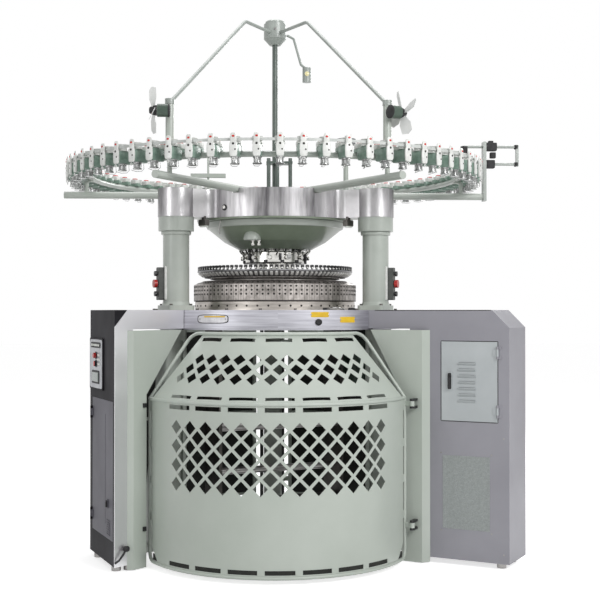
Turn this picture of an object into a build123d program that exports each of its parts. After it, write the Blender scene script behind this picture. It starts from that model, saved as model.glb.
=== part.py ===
from build123d import *
from math import asin, cos, degrees, radians, sin, sqrt
import os

os.makedirs("parts", exist_ok=True)

# Circular double-jersey knitting machine. Millimetres, Z up. The origin lies on the floor, on the
# axis of the needle cylinder. Angles round the machine count from the front, where the gate is,
# towards the right side: 0 is the front (-Y), 90 the right side (+X), 180 the rear.

# Fits
seat_gap = 0.3          # beside a curved seat, or beside a part that moves
running_gap = 0.05      # round a shaft in its bearing, on the radius

# Bed and frame
bed_radius = 715.0
bed_top = 1310.0
bed_height = 105.0
bed_plate_thickness = 28.0
bed_wall = 25.0
bed_flange_width = 75.0
bed_flange_thickness = 20.0
bed_trim_thickness = 4.0
leg_angles = (-60, 60, 180)
leg_inner_radius = 590.0
leg_foot_depth = 230.0
leg_top_depth = 120.0
leg_width = 110.0
leg_pocket_depth = 22.0
foot_plate_thickness = 30.0
foot_plate_length = 290.0
foot_plate_width = 170.0
foot_clearance = 22.0   # from the floor to the foot plates
anchor_hole_radius = 9.0
anchor_circle_radius = 850.0
levelling_screw_radius = 8.0
levelling_screw_offset = 69.0
levelling_nut_height = 10.0
levelling_pad_radius = 30.0
cabinet_pad_radius = 24.0
base_hub_radius = 120.0
base_hub_height = 110.0
base_arm_width = 80.0
base_arm_height = 70.0

# Knitting head
cylinder_radius = 381.0  # 30 inch needle cylinder
cylinder_wall = 15.0
cylinder_top = 1478.0
cylinder_flange_radius = 400.0
cylinder_flange_height = 26.0
gear_radius = 425.0
gear_thickness = 34.0
cam_clearance = 3.0     # needle butts stand out of the cylinder by this much
cam_base_radius = 460.0
cam_base_height = 52.0
cam_ring_radius = 466.0
cam_ring_height = 113.0
cam_ring_top_radius = 414.0
cam_ring_slope_height = 22.0
cam_sections = 96
dial_radius = 376.0
dial_thickness = 22.0
dial_height = 8.0       # from the needle cylinder's top to the dial
dial_shaft_radius = 30.0
dial_plate_thickness = 22.0
dial_cone_low_radius = 405.0
dial_cone_top_radius = 447.0
dial_cone_height = 37.0
guide_count = 96
guide_height = 20.0
hub_base_radius = 118.0
hub_base_height = 44.0
hub_disc_radius = 180.0
hub_disc_height = 67.0
hub_neck_radius = 88.0

# Upper frame
column_circle_radius = 634.0
column_angles = (-60, 60, 180)
column_radius = 72.0
column_top = 1742.0
column_flange_width = 172.0
column_flange_height = 26.0
column_cone_height = 20.0
lobe_radius = 97.0
top_plate_radius = 446.0
top_plate_low = 1820.0
top_plate_top = 1950.0
top_plate_thickness = 30.0
top_plate_wall = 20.0
lobe_web_width = 150.0
lobe_fillet = 60.0
top_trim_height = 155.0
top_trim_thickness = 3.0
bowl_floor_radius = 207.0
bowl_floor_height = 1656.0
bowl_middle_radius = 291.0
bowl_middle_height = 1700.0
bowl_rim_radius = 384.0
bowl_rim_height = 1775.0
bowl_flange_thickness = 10.0
bowl_wall = 12.0

# Yarn feeding
arm_radius = 20.0
arm_angles = (-150, -90, -30, 30, 90, 150)
arm_reach = 1210.0
arm_start = 250.0
arm_saddle_length = 90.0
feeder_ring_radius = 1055.0
feeder_ring_tube = 15.0
feeder_ring_height = 2070.0
post_radius = 12.0
feeder_count = 66
feeder_width = 50.0
feeder_depth = 160.0
feeder_body_height = 24.0
feeder_skirt_height = 40.0
pulley_radius = 27.0
pulley_height = 34.0
wheel_radius = 24.0
wheel_height = 36.0
feeder_belt_thickness = 3.0
feeder_belt_height = 14.0

# Overhead gear
mast_radius = 16.0
mast_top = 2843.0
mast_hub_radius = 65.0
mast_hub_height = 142.0
mast_hub_cone = 36.0
mast_hub_cap = 22.0
mast_hub_edge = 8.0
mast_foot_radius = 120.0
mast_foot_thickness = 14.0
brace_places = (-38.0, 12.0, 86.0)  # sideways from the axis
brace_forward = 70.0
brace_radius = 11.0
brace_height = 216.0
brace_plate_length = 150.0
brace_plate_width = 95.0
brace_plate_thickness = 12.0
brace_plate_rise = 200.0
fan_post_angles = (-30, 30)
fan_post_radius = 21.0
fan_post_top = 2330.0
fan_arm_radius = 9.5
lamp_arm_radius = 7.0
fan_arm_height = 2908.0
fan_arm_bend = 340.0    # how far out the arms run level
fan_height = 2288.0
fan_blade_radius = 118.0
fan_blade_count = 4
fan_blade_pitch = 28.0
fan_blade_thickness = 2.5
fan_blade_turn = 20.0
fan_hub_radius = 24.0
fan_nose_radius = 13.0
fan_motor_radius = 32.0
fan_motor_length = 58.0
fan_shaft_radius = 5.0
fan_shaft_length = 40.0
fan_motor_offset = 14.0     # between the post and the motor's body
fan_motor_front = 23.0      # from the middle of the bracket to the motor's front
fan_bracket_width = 24.0
fan_bracket_height = 36.0
fan_cap_height = 26.0       # the cap on a fan post, into which the arm runs
fan_cap_wall = 3.0
fan_arm_bend_radius = 60.0
fan_arm_end_radius = 8.0
fan_arm_end_run = 14.0      # the arm's last short run, inside the cap
fan_arm_end_rise = 18.0
fan_arm_end_height = 10.0
lamp_angle = 90.0
lamp_arm_rise = 60.0        # over the mast hub's foot, where the lamp's arm leaves it
lamp_arm_bends = ((108.0, 40.0), (150.0, -110.0), (176.0, -130.0))
lamp_radius = 25.0
lamp_reach = 184.0
lamp_height = 84.0
lamp_drop = 128.0           # from the mast hub's foot down to the lamp's top

# Belt tensioner and quality stands
tensioner_angle = 90.0
tensioner_plate_thickness = 18.0
tensioner_plate_width = 56.0
tensioner_plate_height = 345.0
tensioner_rod_radius = 8.0
tensioner_upper = 2262.0
tensioner_lower = 2161.0
tensioner_start = 1102.0    # the small pulley at the upper rod's inner end
tensioner_reach = 1413.0
tensioner_block_height = 42.0
upper_block_length = 62.0
lower_block_length = 50.0
tensioner_end_width = 30.0
tensioner_pulley_height = 44.0
tensioner_pulley_radius = 18.0
stand_circle = 415.0
stand_angles = (-66.0, 76.0)
stand_radius = 6.0
stand_sleeve_radius = 14.0
stand_foot_radius = 26.0
stand_foot_thickness = 10.0
left_stand_height = 235.0
right_stand_height = 356.0
stand_shelf_length = 196.0
stand_shelf_width = 46.0
stand_shelf_thickness = 20.0
stand_shelf_rise = 106.0
quality_pulley_radius = 59.0
quality_pulley_height = 30.0
quality_pulley_rim = 8.0
quality_pulley_groove = 9.0
quality_pulley_rise = 306.0

# Front gate
gate_radius = 700.0
gate_arc_end = 632.0    # where the bottom rod's arc ends and its corner starts
gate_end = 655.0
gate_centre_y = -475.0
gate_bottom = 33.0
gate_middle = 857.0
gate_top = 1190.0
gate_top_radius = 500.0
gate_top_arc_end = 400.0
gate_top_end = 440.0
gate_top_centre_y = -425.0
gate_rod_radius = 9.0
gate_corner = 60.0
gate_sheet = 3.0
hinge_axis_x = 690.0
hinge_axis_y = -752.0
hinge_pin_radius = 7.0
hinge_heights = (190.0, 815.0)
hinge_lug_height = 26.0
diamond_side = 51.0
diamond_pitch_angle = 7.7
diamond_row_pitch = 46.5
window_rows = 7
window_middle = 595.0   # the height of the middle row of windows
slot_length = 146.0
slot_width = 22.0
slot_margin = 5.0       # from a slot to the panel's edge
edge_slots = 7
edge_slot_turn = 14.9
side_slots = 4
side_slot_pitch = 185.0
upper_window = 47.0
upper_side_gap = 14.0
upper_rows = ((14, 0.343, 0.117), (13, 0.483, 0.12), (12, 0.624, 0.122))
catch_along = 1035.0
catch_length = 18.0
catch_depth = 10.0
catch_height = 22.0
bracket_thickness = 12.0
bracket_width = 22.0

# Cabinets and covers
cabinet_bottom = 30.0
cabinet_sheet = 4.0
cabinet_band_low = 1212.0   # above this the cabinets reach in to the bed trim
right_face_angle = -30.0
right_face_distance = 215.0
right_face_begin = 925.0
right_face_end = 1461.0
right_cabinet_depth = 280.0
right_chamfer = 90.0
door_begin = 1100.0     # the electrical door, along the right face
door_width = 300.0
door_low = 741.0
door_high = 1148.0
door_gap = 1.5
door_sheet = 3.0
louvre_count = 7
louvre_pitch = 32.0
louvre_width = 94.0
louvre_middle = 1237.0
louvre_rise = 8.0
louvre_drop = 15.0
handle_along = 1146.0
handle_width = 26.0
handle_length = 96.0
handle_thickness = 6.0
knuckle_radius = 6.0
knuckle_length = 36.0
hinge_end_length = 14.0
door_pin_radius = 3.0
hinge_set_out = 6.5     # from a door's front to its hinge's axis
vent_begin = 1110.0
vent_width = 246.0
vent_low = 190.0
vent_high = 560.0
vent_slots = 12
vent_slot_share = 0.6   # how much of the pitch a slot takes
left_face_angle = 49.6
left_face_distance = 37.0
left_face_begin = 1090.0
left_face_end = 1213.0
left_side_angle = 111.5
left_side_length = 505.0
left_cabinet_depth = 130.0
face_cover_sheet = 3.0
face_cover_chamfer = 85.0
side_door_begin = 34.0
side_door_width = 420.0
side_door_low = 152.0
side_door_high = 850.0
recess_along = 180.0
recess_length = 560.0
recess_width = 9.0
latch_along = 130.0
latch_middle = 330.0
latch_width = 22.0
latch_height = 44.0
latch_thickness = 5.0
panel_begin = 215.0
panel_width = 270.0
panel_low = 895.0
panel_high = 1163.0
panel_thickness = 8.0
panel_button_along = 343.0
panel_button_heights = (1073.0, 1030.0)
panel_button_radius = 14.0
cover_sheet = 3.0
right_cover_offset = 40.0   # in front of the cabinet's face
right_cover_nose = 1008.0
right_cover_foot = 1037.0
right_cover_width = 115.0
right_cover_reach = 290.0
left_cover_offset = 24.0
left_cover_nose = 1107.0
left_cover_foot = 1128.0
left_cover_width = 90.0
left_cover_reach = 345.0
cover_slant_height = 880.0
cover_top = 1206.0

# Switch stations on the front columns
station_angle = 68.0    # which way a station faces, from the front
station_width = 46.0
station_depth = 34.0
station_height = 178.0
station_middle = 1454.0
button_pitch = 55.0
button_radius = 14.0
button_height = 12.0
stop_button_radius = 22.0
stop_button_height = 18.0
button_stem_radius = 8.0
button_travel = 5.0

# Rear gates
rear_post_out = 862.0   # the gate posts stand on the rear foot plate, this far from the axis
rear_post_aside = 68.0
rear_post_radius = 12.0
rear_gate_begin = 72.0  # angles round the machine, on each side
rear_gate_end = 172.5
rear_gate_low = 120.0
rear_gate_high = 1180.0
rear_gate_sheet = 3.0
rear_rim_depth = 12.0   # the ribs along the sheet's edges and middle
rear_rim_height = 16.0
rear_gate_stile = 10.0  # the upright bars at both ends
rear_lug_heights = (200.0, 1090.0)
rear_lug_height = 30.0
rear_lug_wall = 7.0
yoke_height = 1150.0    # the plate that holds the tops of the posts to the rear leg
yoke_thickness = 12.0

# Take-down, which turns with the needle cylinder
takedown_angle = 24.0   # how far it is turned at rest
takedown_ring_inner = 345.0
takedown_ring_thickness = 18.0
side_plate_thickness = 20.0
side_plate_width = 210.0
side_plate_position = 372.0
side_plate_low = 230.0
cross_beam_height = 60.0
pivot_radius = 40.0
roller_radius = 28.0
roller_height = 660.0
journal_radius = 12.0
fabric_shaft_radius = 20.0
fabric_shaft_height = 400.0

# Drive
drive_angle = 124.0
pinion_radius = 42.5
drive_shaft_radius = 15.0
motor_circle_radius = 600.0
motor_radius = 84.0
motor_height = 300.0
drive_pulley_radius = 40.0
drive_pulley_height = 34.0
drive_pulley_bottom = 1160.0
belt_thickness = 4.0
belt_margin = 5.0       # from the belt's edges to the pulley's
motor_drop = 20.0       # from the pulleys down to the motor
motor_shaft_radius = 14.0
motor_fins = 12
motor_fin_depth = 14.0
motor_fin_reach = 10.0
motor_fin_width = 4.0
motor_fin_margin = 40.0
hanger_inset = 43.0     # from the bed's rim to the middle of the motor's hanger
hanger_width = 120.0
hanger_thickness = 12.0
hanger_lap = 60.0

# Heights and distances that follow from the sizes above
bed_bottom = bed_top - bed_height
plate_bottom = bed_top - bed_plate_thickness
gear_top = plate_bottom - 8
gear_bottom = gear_top - gear_thickness
cam_base_top = bed_top + cam_base_height
cam_ring_top = cam_base_top + cam_ring_height
dial_bottom = cylinder_top + dial_height
dial_top = dial_bottom + dial_thickness
dial_plate_bottom = dial_top + 2
dial_plate_top = dial_plate_bottom + dial_plate_thickness
foot_plate_middle = leg_inner_radius + foot_plate_length / 2
foot_plate_top = foot_clearance + foot_plate_thickness
arm_height = top_plate_top + arm_radius + 1
drive_shaft_circle = gear_radius + pinion_radius + seat_gap


def outward(angle):
    """The level direction that points away from the machine's axis at an angle round it."""
    return Vector(sin(radians(angle)), -cos(radians(angle)), 0)


def sideways(angle):
    """The level direction along the machine's circumference at an angle round it."""
    return Vector(cos(radians(angle)), sin(radians(angle)), 0)


def spot(angle, radius, height=0.0):
    """A point at an angle round the machine, a distance from its axis and a height."""
    return outward(angle) * radius + Vector(0, 0, height)


def level_plane(angle, radius, height):
    """A level plane at a spot, with its x direction pointing outward."""
    return Plane(origin=spot(angle, radius, height), x_dir=outward(angle), z_dir=(0, 0, 1))


def radial_plane(angle):
    """The upright plane through the axis: x points outward and y up."""
    return Plane(origin=(0, 0, 0), x_dir=outward(angle), z_dir=-sideways(angle))


def add_bar(start, end, radius, mode=Mode.ADD):
    """A round bar from one point to another, in the part that is being built."""
    run = end - start
    with BuildSketch(Plane(origin=start, z_dir=run)) as section:
        Circle(radius)
    extrude(section.sketch, amount=run.length, mode=mode)


def add_block(plane, length, width, height, mode=Mode.ADD):
    """A block that stands on a plane, in the part that is being built."""
    with BuildSketch(plane) as section:
        Rectangle(length, width)
    extrude(section.sketch, amount=height, mode=mode)


def add_turned(points, mode=Mode.ADD):
    """A shape turned about the machine's axis, from points of radius and height."""
    with BuildSketch(Plane.XZ) as section:
        with BuildLine():
            Polyline(*points, close=True)
        make_face()
    revolve(section.sketch, axis=Axis.Z, mode=mode)


def add_plan(points, low, high, mode=Mode.ADD):
    """An upright shape with straight sides, from its corners seen from above."""
    with BuildSketch(Plane.XY.offset(low)) as plan:
        with BuildLine():
            Polyline(*[(point.X, point.Y) for point in points], close=True)
        make_face()
    extrude(plan.sketch, amount=high - low, mode=mode)


# Where the cabinets stand. Each has a straight upright face that meets the bed trim: along counts
# from the point of the face nearest the machine's axis, and depth goes in behind the face.
trim_radius = bed_radius + seat_gap + bed_trim_thickness
right_along = Vector(cos(radians(right_face_angle)), sin(radians(right_face_angle)), 0)
right_inward = Vector(-right_along.Y, right_along.X, 0)
left_along = Vector(-cos(radians(left_face_angle)), -sin(radians(left_face_angle)), 0)
left_inward = Vector(left_along.Y, -left_along.X, 0)


def right_face(along, depth=0.0, height=0.0):
    """A point on the right cabinet's face, or behind it."""
    return right_along * along + right_inward * (depth - right_face_distance) + Vector(0, 0, height)


def left_face(along, depth=0.0, height=0.0):
    """A point on the left cabinet's face, or behind it."""
    return left_along * along + left_inward * (depth + left_face_distance) + Vector(0, 0, height)


left_corner = left_face(left_face_end)
left_side_run = Vector(cos(radians(left_side_angle)), sin(radians(left_side_angle)), 0)
left_side_inward = Vector(left_side_run.Y, -left_side_run.X, 0)


def left_side(along, depth=0.0, height=0.0):
    """A point on the left cabinet's outer side, counted back from its front corner."""
    return left_corner + left_side_run * along + left_side_inward * depth + Vector(0, 0, height)


cabinet_feet = [
    right_face(along, depth)
    for along in (right_face_begin + 60, right_face_end - 60)
    for depth in (60, right_cabinet_depth - 60)
] + [
    left_side(along, depth)
    for along in (80, left_side_length - 70)
    for depth in (30, 92)
]

# Base frame: a hub with the take-down's centre bearing, and three arms out to the legs
with BuildPart() as base_frame:
    with BuildSketch(Plane.XY.offset(foot_clearance)):
        Circle(base_hub_radius)
    extrude(amount=base_hub_height)
    for angle in leg_angles:
        arm_length = leg_inner_radius - base_hub_radius / 2
        arm_middle = base_hub_radius / 2 + arm_length / 2
        arm_plane = level_plane(angle, arm_middle, foot_plate_top)
        add_block(arm_plane, arm_length, base_arm_width, base_arm_height)
    with BuildSketch(Plane.XY.offset(foot_clearance + base_hub_height)):
        Circle(pivot_radius + running_gap)
    extrude(amount=-(base_hub_height - 20), mode=Mode.SUBTRACT)
base_frame.part.label = "base_frame"
export_step(base_frame.part, "parts/base_frame.step")

# Legs: tapered castings with a pocket in each flank, on foot plates with an anchor hole
with BuildPart() as legs:
    for angle in leg_angles:
        with BuildSketch(level_plane(angle, leg_inner_radius + leg_foot_depth / 2, foot_plate_top)) as foot:
            RectangleRounded(leg_foot_depth, leg_width, 18)
        with BuildSketch(level_plane(angle, leg_inner_radius + leg_top_depth / 2, bed_bottom)) as head:
            RectangleRounded(leg_top_depth, leg_width, 18)
        loft([foot.sketch, head.sketch])
        foot_plane = level_plane(angle, foot_plate_middle, foot_clearance)
        add_block(foot_plane, foot_plate_length, foot_plate_width, foot_plate_thickness)
        for side in (-1, 1):
            flank = Plane(
                origin=sideways(angle) * side * leg_width / 2,
                x_dir=outward(angle),
                z_dir=-sideways(angle),
            )
            with BuildSketch(flank) as pocket:
                with BuildLine():
                    Polyline(
                        (leg_inner_radius + 28, foot_plate_top + 60),
                        (leg_inner_radius + leg_foot_depth - 34, foot_plate_top + 60),
                        (leg_inner_radius + leg_top_depth - 28, bed_bottom - 60),
                        (leg_inner_radius + 28, bed_bottom - 60),
                        close=True,
                    )
                make_face()
            extrude(pocket.sketch, amount=side * leg_pocket_depth, mode=Mode.SUBTRACT)
            screw_spot = spot(angle, foot_plate_middle) + sideways(angle) * side * levelling_screw_offset
            add_bar(
                screw_spot + Vector(0, 0, foot_clearance),
                screw_spot + Vector(0, 0, foot_plate_top),
                levelling_screw_radius + seat_gap,
                mode=Mode.SUBTRACT,
            )
        add_bar(
            spot(angle, anchor_circle_radius, foot_clearance),
            spot(angle, anchor_circle_radius, foot_plate_top),
            anchor_hole_radius,
            mode=Mode.SUBTRACT,
        )
legs.part.label = "legs"
export_step(legs.part, "parts/legs.step")

# Levelling feet: a pad, screw and nut at each side of each foot plate, and pads under the cabinets
with BuildPart() as levelling_feet:
    for angle in leg_angles:
        for side in (-1, 1):
            screw_spot = spot(angle, foot_plate_middle) + sideways(angle) * side * levelling_screw_offset
            add_bar(screw_spot, screw_spot + Vector(0, 0, foot_clearance), levelling_pad_radius)
            screw_end = screw_spot + Vector(0, 0, foot_plate_top + levelling_nut_height + 5)
            add_bar(screw_spot, screw_end, levelling_screw_radius)
            with BuildSketch(Plane(origin=screw_spot + Vector(0, 0, foot_plate_top))) as nut:
                RegularPolygon(levelling_screw_radius * 1.6, 6)
            extrude(nut.sketch, amount=levelling_nut_height)
    for corner in cabinet_feet:
        add_bar(corner, corner + Vector(0, 0, cabinet_bottom), cabinet_pad_radius)
levelling_feet.part.label = "levelling_feet"
export_step(levelling_feet.part, "parts/levelling_feet.step")

# Bed plate: a ring casting with a skirt, a bolting flange for the legs and the drive shaft's bearing
with BuildPart() as bed_plate:
    bore_radius = cylinder_flange_radius + running_gap
    flange_radius = bed_radius - bed_wall - bed_flange_width
    add_turned([
        (bore_radius, bed_top),
        (bed_radius, bed_top),
        (bed_radius, bed_bottom),
        (flange_radius, bed_bottom),
        (flange_radius, bed_bottom + bed_flange_thickness),
        (bed_radius - bed_wall, bed_bottom + bed_flange_thickness),
        (bed_radius - bed_wall, plate_bottom),
        (bore_radius, plate_bottom),
    ])
    add_bar(
        spot(drive_angle, drive_shaft_circle, plate_bottom),
        spot(drive_angle, drive_shaft_circle, plate_bottom + bed_plate_thickness / 2),
        drive_shaft_radius + running_gap,
        mode=Mode.SUBTRACT,
    )
bed_plate.part.label = "bed_plate"
export_step(bed_plate.part, "parts/bed_plate.step")

# Bed trim: a polished band round the bed plate
with BuildPart() as bed_trim:
    add_turned([
        (bed_radius + seat_gap, bed_bottom),
        (trim_radius, bed_bottom),
        (trim_radius, bed_top),
        (bed_radius + seat_gap, bed_top),
    ])
bed_trim.part.label = "bed_trim"
export_step(bed_trim.part, "parts/bed_trim.step")

# Cam ring base: the plain lower ring that carries the cam sections
cam_bore_radius = cylinder_radius + cam_clearance
with BuildPart() as cam_ring_base:
    add_turned([
        (cylinder_flange_radius + 2, bed_top),
        (cam_base_radius, bed_top),
        (cam_base_radius, cam_base_top - 6),
        (cam_base_radius - 6, cam_base_top),
        (cam_bore_radius, cam_base_top),
        (cam_bore_radius, bed_top + 10),
        (cylinder_flange_radius + 2, bed_top + 10),
    ])
cam_ring_base.part.label = "cam_ring_base"
export_step(cam_ring_base.part, "parts/cam_ring_base.step")

# Cam ring: flat-faced cam sections side by side, sloping in at the top
with BuildPart() as cam_ring:
    slope_start = cam_ring_top - cam_ring_slope_height
    with BuildSketch(Plane.XY.offset(cam_base_top)):
        RegularPolygon(cam_ring_radius, cam_sections)
    extrude(amount=slope_start - cam_base_top)
    with BuildSketch(Plane.XY.offset(slope_start)) as slope_foot:
        RegularPolygon(cam_ring_radius, cam_sections)
    with BuildSketch(Plane.XY.offset(cam_ring_top)) as slope_head:
        RegularPolygon(cam_ring_top_radius, cam_sections)
    loft([slope_foot.sketch, slope_head.sketch], ruled=True)
    with BuildSketch(Plane.XY.offset(cam_base_top)) as cam_bore:
        Circle(cam_bore_radius)
    extrude(cam_bore.sketch, amount=cam_ring_height, mode=Mode.SUBTRACT)
cam_ring.part.label = "cam_ring"
export_step(cam_ring.part, "parts/cam_ring.step")

# Columns: round castings with a flanged foot
with BuildPart() as columns:
    for angle in column_angles:
        add_bar(
            spot(angle, column_circle_radius, bed_top),
            spot(angle, column_circle_radius, column_top),
            column_radius,
        )
        with BuildSketch(level_plane(angle, column_circle_radius, bed_top)) as column_foot:
            RectangleRounded(column_flange_width * 0.92, column_flange_width, 26)
        extrude(column_foot.sketch, amount=column_flange_height)
        cone_foot_height = bed_top + column_flange_height
        with BuildSketch(level_plane(angle, column_circle_radius, cone_foot_height)) as cone_foot:
            Circle(column_flange_width * 0.46)
        cone_head_height = cone_foot_height + column_cone_height
        with BuildSketch(level_plane(angle, column_circle_radius, cone_head_height)) as cone_head:
            Circle(column_radius)
        loft([cone_foot.sketch, cone_head.sketch])
columns.part.label = "columns"
export_step(columns.part, "parts/columns.step")


def plate_outline(radius, lobe):
    """The top plate's outline: a disc with a lobe over each column and hollow curves between."""
    with BuildSketch() as outline:
        Circle(radius)
        for angle in column_angles:
            with Locations(level_plane(angle, column_circle_radius / 2, 0)):
                Rectangle(column_circle_radius, lobe_web_width + 2 * (lobe - lobe_radius))
        corners = outline.vertices().filter_by(
            lambda corner: abs(corner.center().length - radius) < 1
        )
        fillet(corners, lobe_fillet - (lobe - lobe_radius))
        for angle in column_angles:
            with Locations(spot(angle, column_circle_radius)):
                Circle(lobe)
    return outline.sketch


# Top plate: a hollow casting with a boss over each column
with BuildPart() as top_plate:
    body_outline = plate_outline(top_plate_radius, lobe_radius)
    with BuildSketch(Plane.XY.offset(top_plate_low)):
        add(body_outline)
    extrude(amount=top_plate_top - top_plate_low)
    with BuildSketch(Plane.XY.offset(top_plate_low)):
        Circle(top_plate_radius - top_plate_wall)
    extrude(amount=top_plate_top - top_plate_low - top_plate_thickness, mode=Mode.SUBTRACT)
    for angle in column_angles:
        add_bar(
            spot(angle, column_circle_radius, column_top),
            spot(angle, column_circle_radius, top_plate_low),
            lobe_radius,
        )
top_plate.part.label = "top_plate"
export_step(top_plate.part, "parts/top_plate.step")

# Top trim: a polished band that follows the top plate, notched for the arms
with BuildPart() as top_trim:
    outer_growth = seat_gap + top_trim_thickness
    with BuildSketch(Plane.XY.offset(top_plate_low)):
        add(plate_outline(top_plate_radius + outer_growth, lobe_radius + outer_growth))
        add(plate_outline(top_plate_radius + seat_gap, lobe_radius + seat_gap), mode=Mode.SUBTRACT)
    extrude(amount=top_trim_height)
    for angle in arm_angles:
        notch_plane = level_plane(angle, top_plate_radius, top_plate_top - 1)
        add_block(notch_plane, 60, arm_radius * 2 + 4, top_trim_height, mode=Mode.SUBTRACT)
top_trim.part.label = "top_trim"
export_step(top_trim.part, "parts/top_trim.step")

# Dial bridge: the bowl under the top plate that holds the dial's parts
with BuildPart() as dial_bridge:
    bore_radius = dial_shaft_radius + 8
    flange_bottom = top_plate_low - bowl_flange_thickness
    add_turned([
        (bore_radius, bowl_floor_height),
        (bowl_floor_radius, bowl_floor_height),
        (bowl_middle_radius, bowl_middle_height),
        (bowl_rim_radius, bowl_rim_height),
        (bowl_rim_radius + 10, flange_bottom),
        (top_plate_radius, flange_bottom),
        (top_plate_radius, top_plate_low),
        (bowl_rim_radius, top_plate_low),
        (bowl_rim_radius - bowl_wall, bowl_rim_height + bowl_wall / 2),
        (bowl_middle_radius - bowl_wall / 2, bowl_middle_height + bowl_wall),
        (bowl_floor_radius - bowl_wall / 2, bowl_floor_height + bowl_wall),
        (bore_radius, bowl_floor_height + bowl_wall),
    ])
dial_bridge.part.label = "dial_bridge"
export_step(dial_bridge.part, "parts/dial_bridge.step")

# Dial: the upper needle bed, a disc on a shaft that turns with the cylinder
with BuildPart() as dial:
    shaft_top = bowl_floor_height + bowl_wall + 30
    add_turned([
        (0, dial_bottom),
        (dial_radius - 4, dial_bottom),
        (dial_radius, dial_bottom + 4),
        (dial_radius, dial_top),
        (dial_shaft_radius, dial_top),
        (dial_shaft_radius, shaft_top),
        (0, shaft_top),
    ])
dial.part.label = "dial"
export_step(dial.part, "parts/dial.step")

# Dial cam ring: a plate over the dial with a sloping rim
with BuildPart() as dial_cam_ring:
    cone_low = dial_plate_top - dial_cone_height
    add_turned([
        (dial_shaft_radius + 2, dial_plate_bottom),
        (dial_radius + 6, dial_plate_bottom),
        (dial_radius + 6, cone_low),
        (dial_cone_low_radius, cone_low),
        (dial_cone_top_radius, dial_plate_top - 6),
        (dial_cone_top_radius, dial_plate_top),
        (dial_shaft_radius + 2, dial_plate_top),
    ])
dial_cam_ring.part.label = "dial_cam_ring"
export_step(dial_cam_ring.part, "parts/dial_cam_ring.step")

# Yarn guides: a ring of small fingers along the dial cam ring's edge
with BuildPart() as yarn_guides:
    with BuildSketch(Plane.XY.offset(dial_plate_top)):
        with PolarLocations(dial_cone_top_radius - 9, guide_count):
            Rectangle(8, 9)
    extrude(amount=guide_height)
yarn_guides.part.label = "yarn_guides"
export_step(yarn_guides.part, "parts/yarn_guides.step")

# Dial hub: the setting head between the dial cams and the bridge, the shaft's bearing inside it
with BuildPart() as dial_hub:
    hub_disc_bottom = dial_plate_top + hub_base_height
    add_turned([
        (dial_shaft_radius + running_gap, dial_plate_top),
        (hub_base_radius, dial_plate_top),
        (hub_base_radius, hub_disc_bottom - 4),
        (hub_disc_radius - 6, hub_disc_bottom),
        (hub_disc_radius, hub_disc_bottom + 6),
        (hub_disc_radius, hub_disc_bottom + hub_disc_height - 6),
        (hub_disc_radius - 6, hub_disc_bottom + hub_disc_height),
        (hub_neck_radius, hub_disc_bottom + hub_disc_height),
        (hub_neck_radius, bowl_floor_height),
        (dial_shaft_radius + running_gap, bowl_floor_height),
    ])
dial_hub.part.label = "dial_hub"
export_step(dial_hub.part, "parts/dial_hub.step")

# Needle cylinder: a turned sleeve with the flange that runs in the bed plate's bore
with BuildPart() as needle_cylinder:
    flange_top = gear_top + cylinder_flange_height
    add_turned([
        (cylinder_radius - cylinder_wall, gear_top),
        (cylinder_flange_radius, gear_top),
        (cylinder_flange_radius, flange_top),
        (cylinder_radius, flange_top),
        (cylinder_radius, cylinder_top),
        (cylinder_radius - cylinder_wall, cylinder_top),
    ])
needle_cylinder.part.label = "needle_cylinder"
export_step(needle_cylinder.part, "parts/needle_cylinder.step")

# Main gear: the ring under the cylinder that the drive shaft's pinion turns
with BuildPart() as main_gear:
    add_turned([
        (cylinder_radius - cylinder_wall, gear_bottom),
        (gear_radius - 3, gear_bottom),
        (gear_radius, gear_bottom + 3),
        (gear_radius, gear_top - 3),
        (gear_radius - 3, gear_top),
        (cylinder_radius - cylinder_wall, gear_top),
    ])
main_gear.part.label = "main_gear"
export_step(main_gear.part, "parts/main_gear.step")

# Take-down frame: a ring under the gear, two side plates and a cross beam on the centre pivot
takedown_side = Vector(cos(radians(takedown_angle)), sin(radians(takedown_angle)), 0)
takedown_front = Vector(sin(radians(takedown_angle)), -cos(radians(takedown_angle)), 0)


def across(height, forward=0.0):
    """A plane across the take-down frame, through its middle, that faces along its rollers."""
    origin = takedown_front * forward + Vector(0, 0, height)
    return Plane(origin=origin, x_dir=takedown_front, z_dir=takedown_side)


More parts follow.
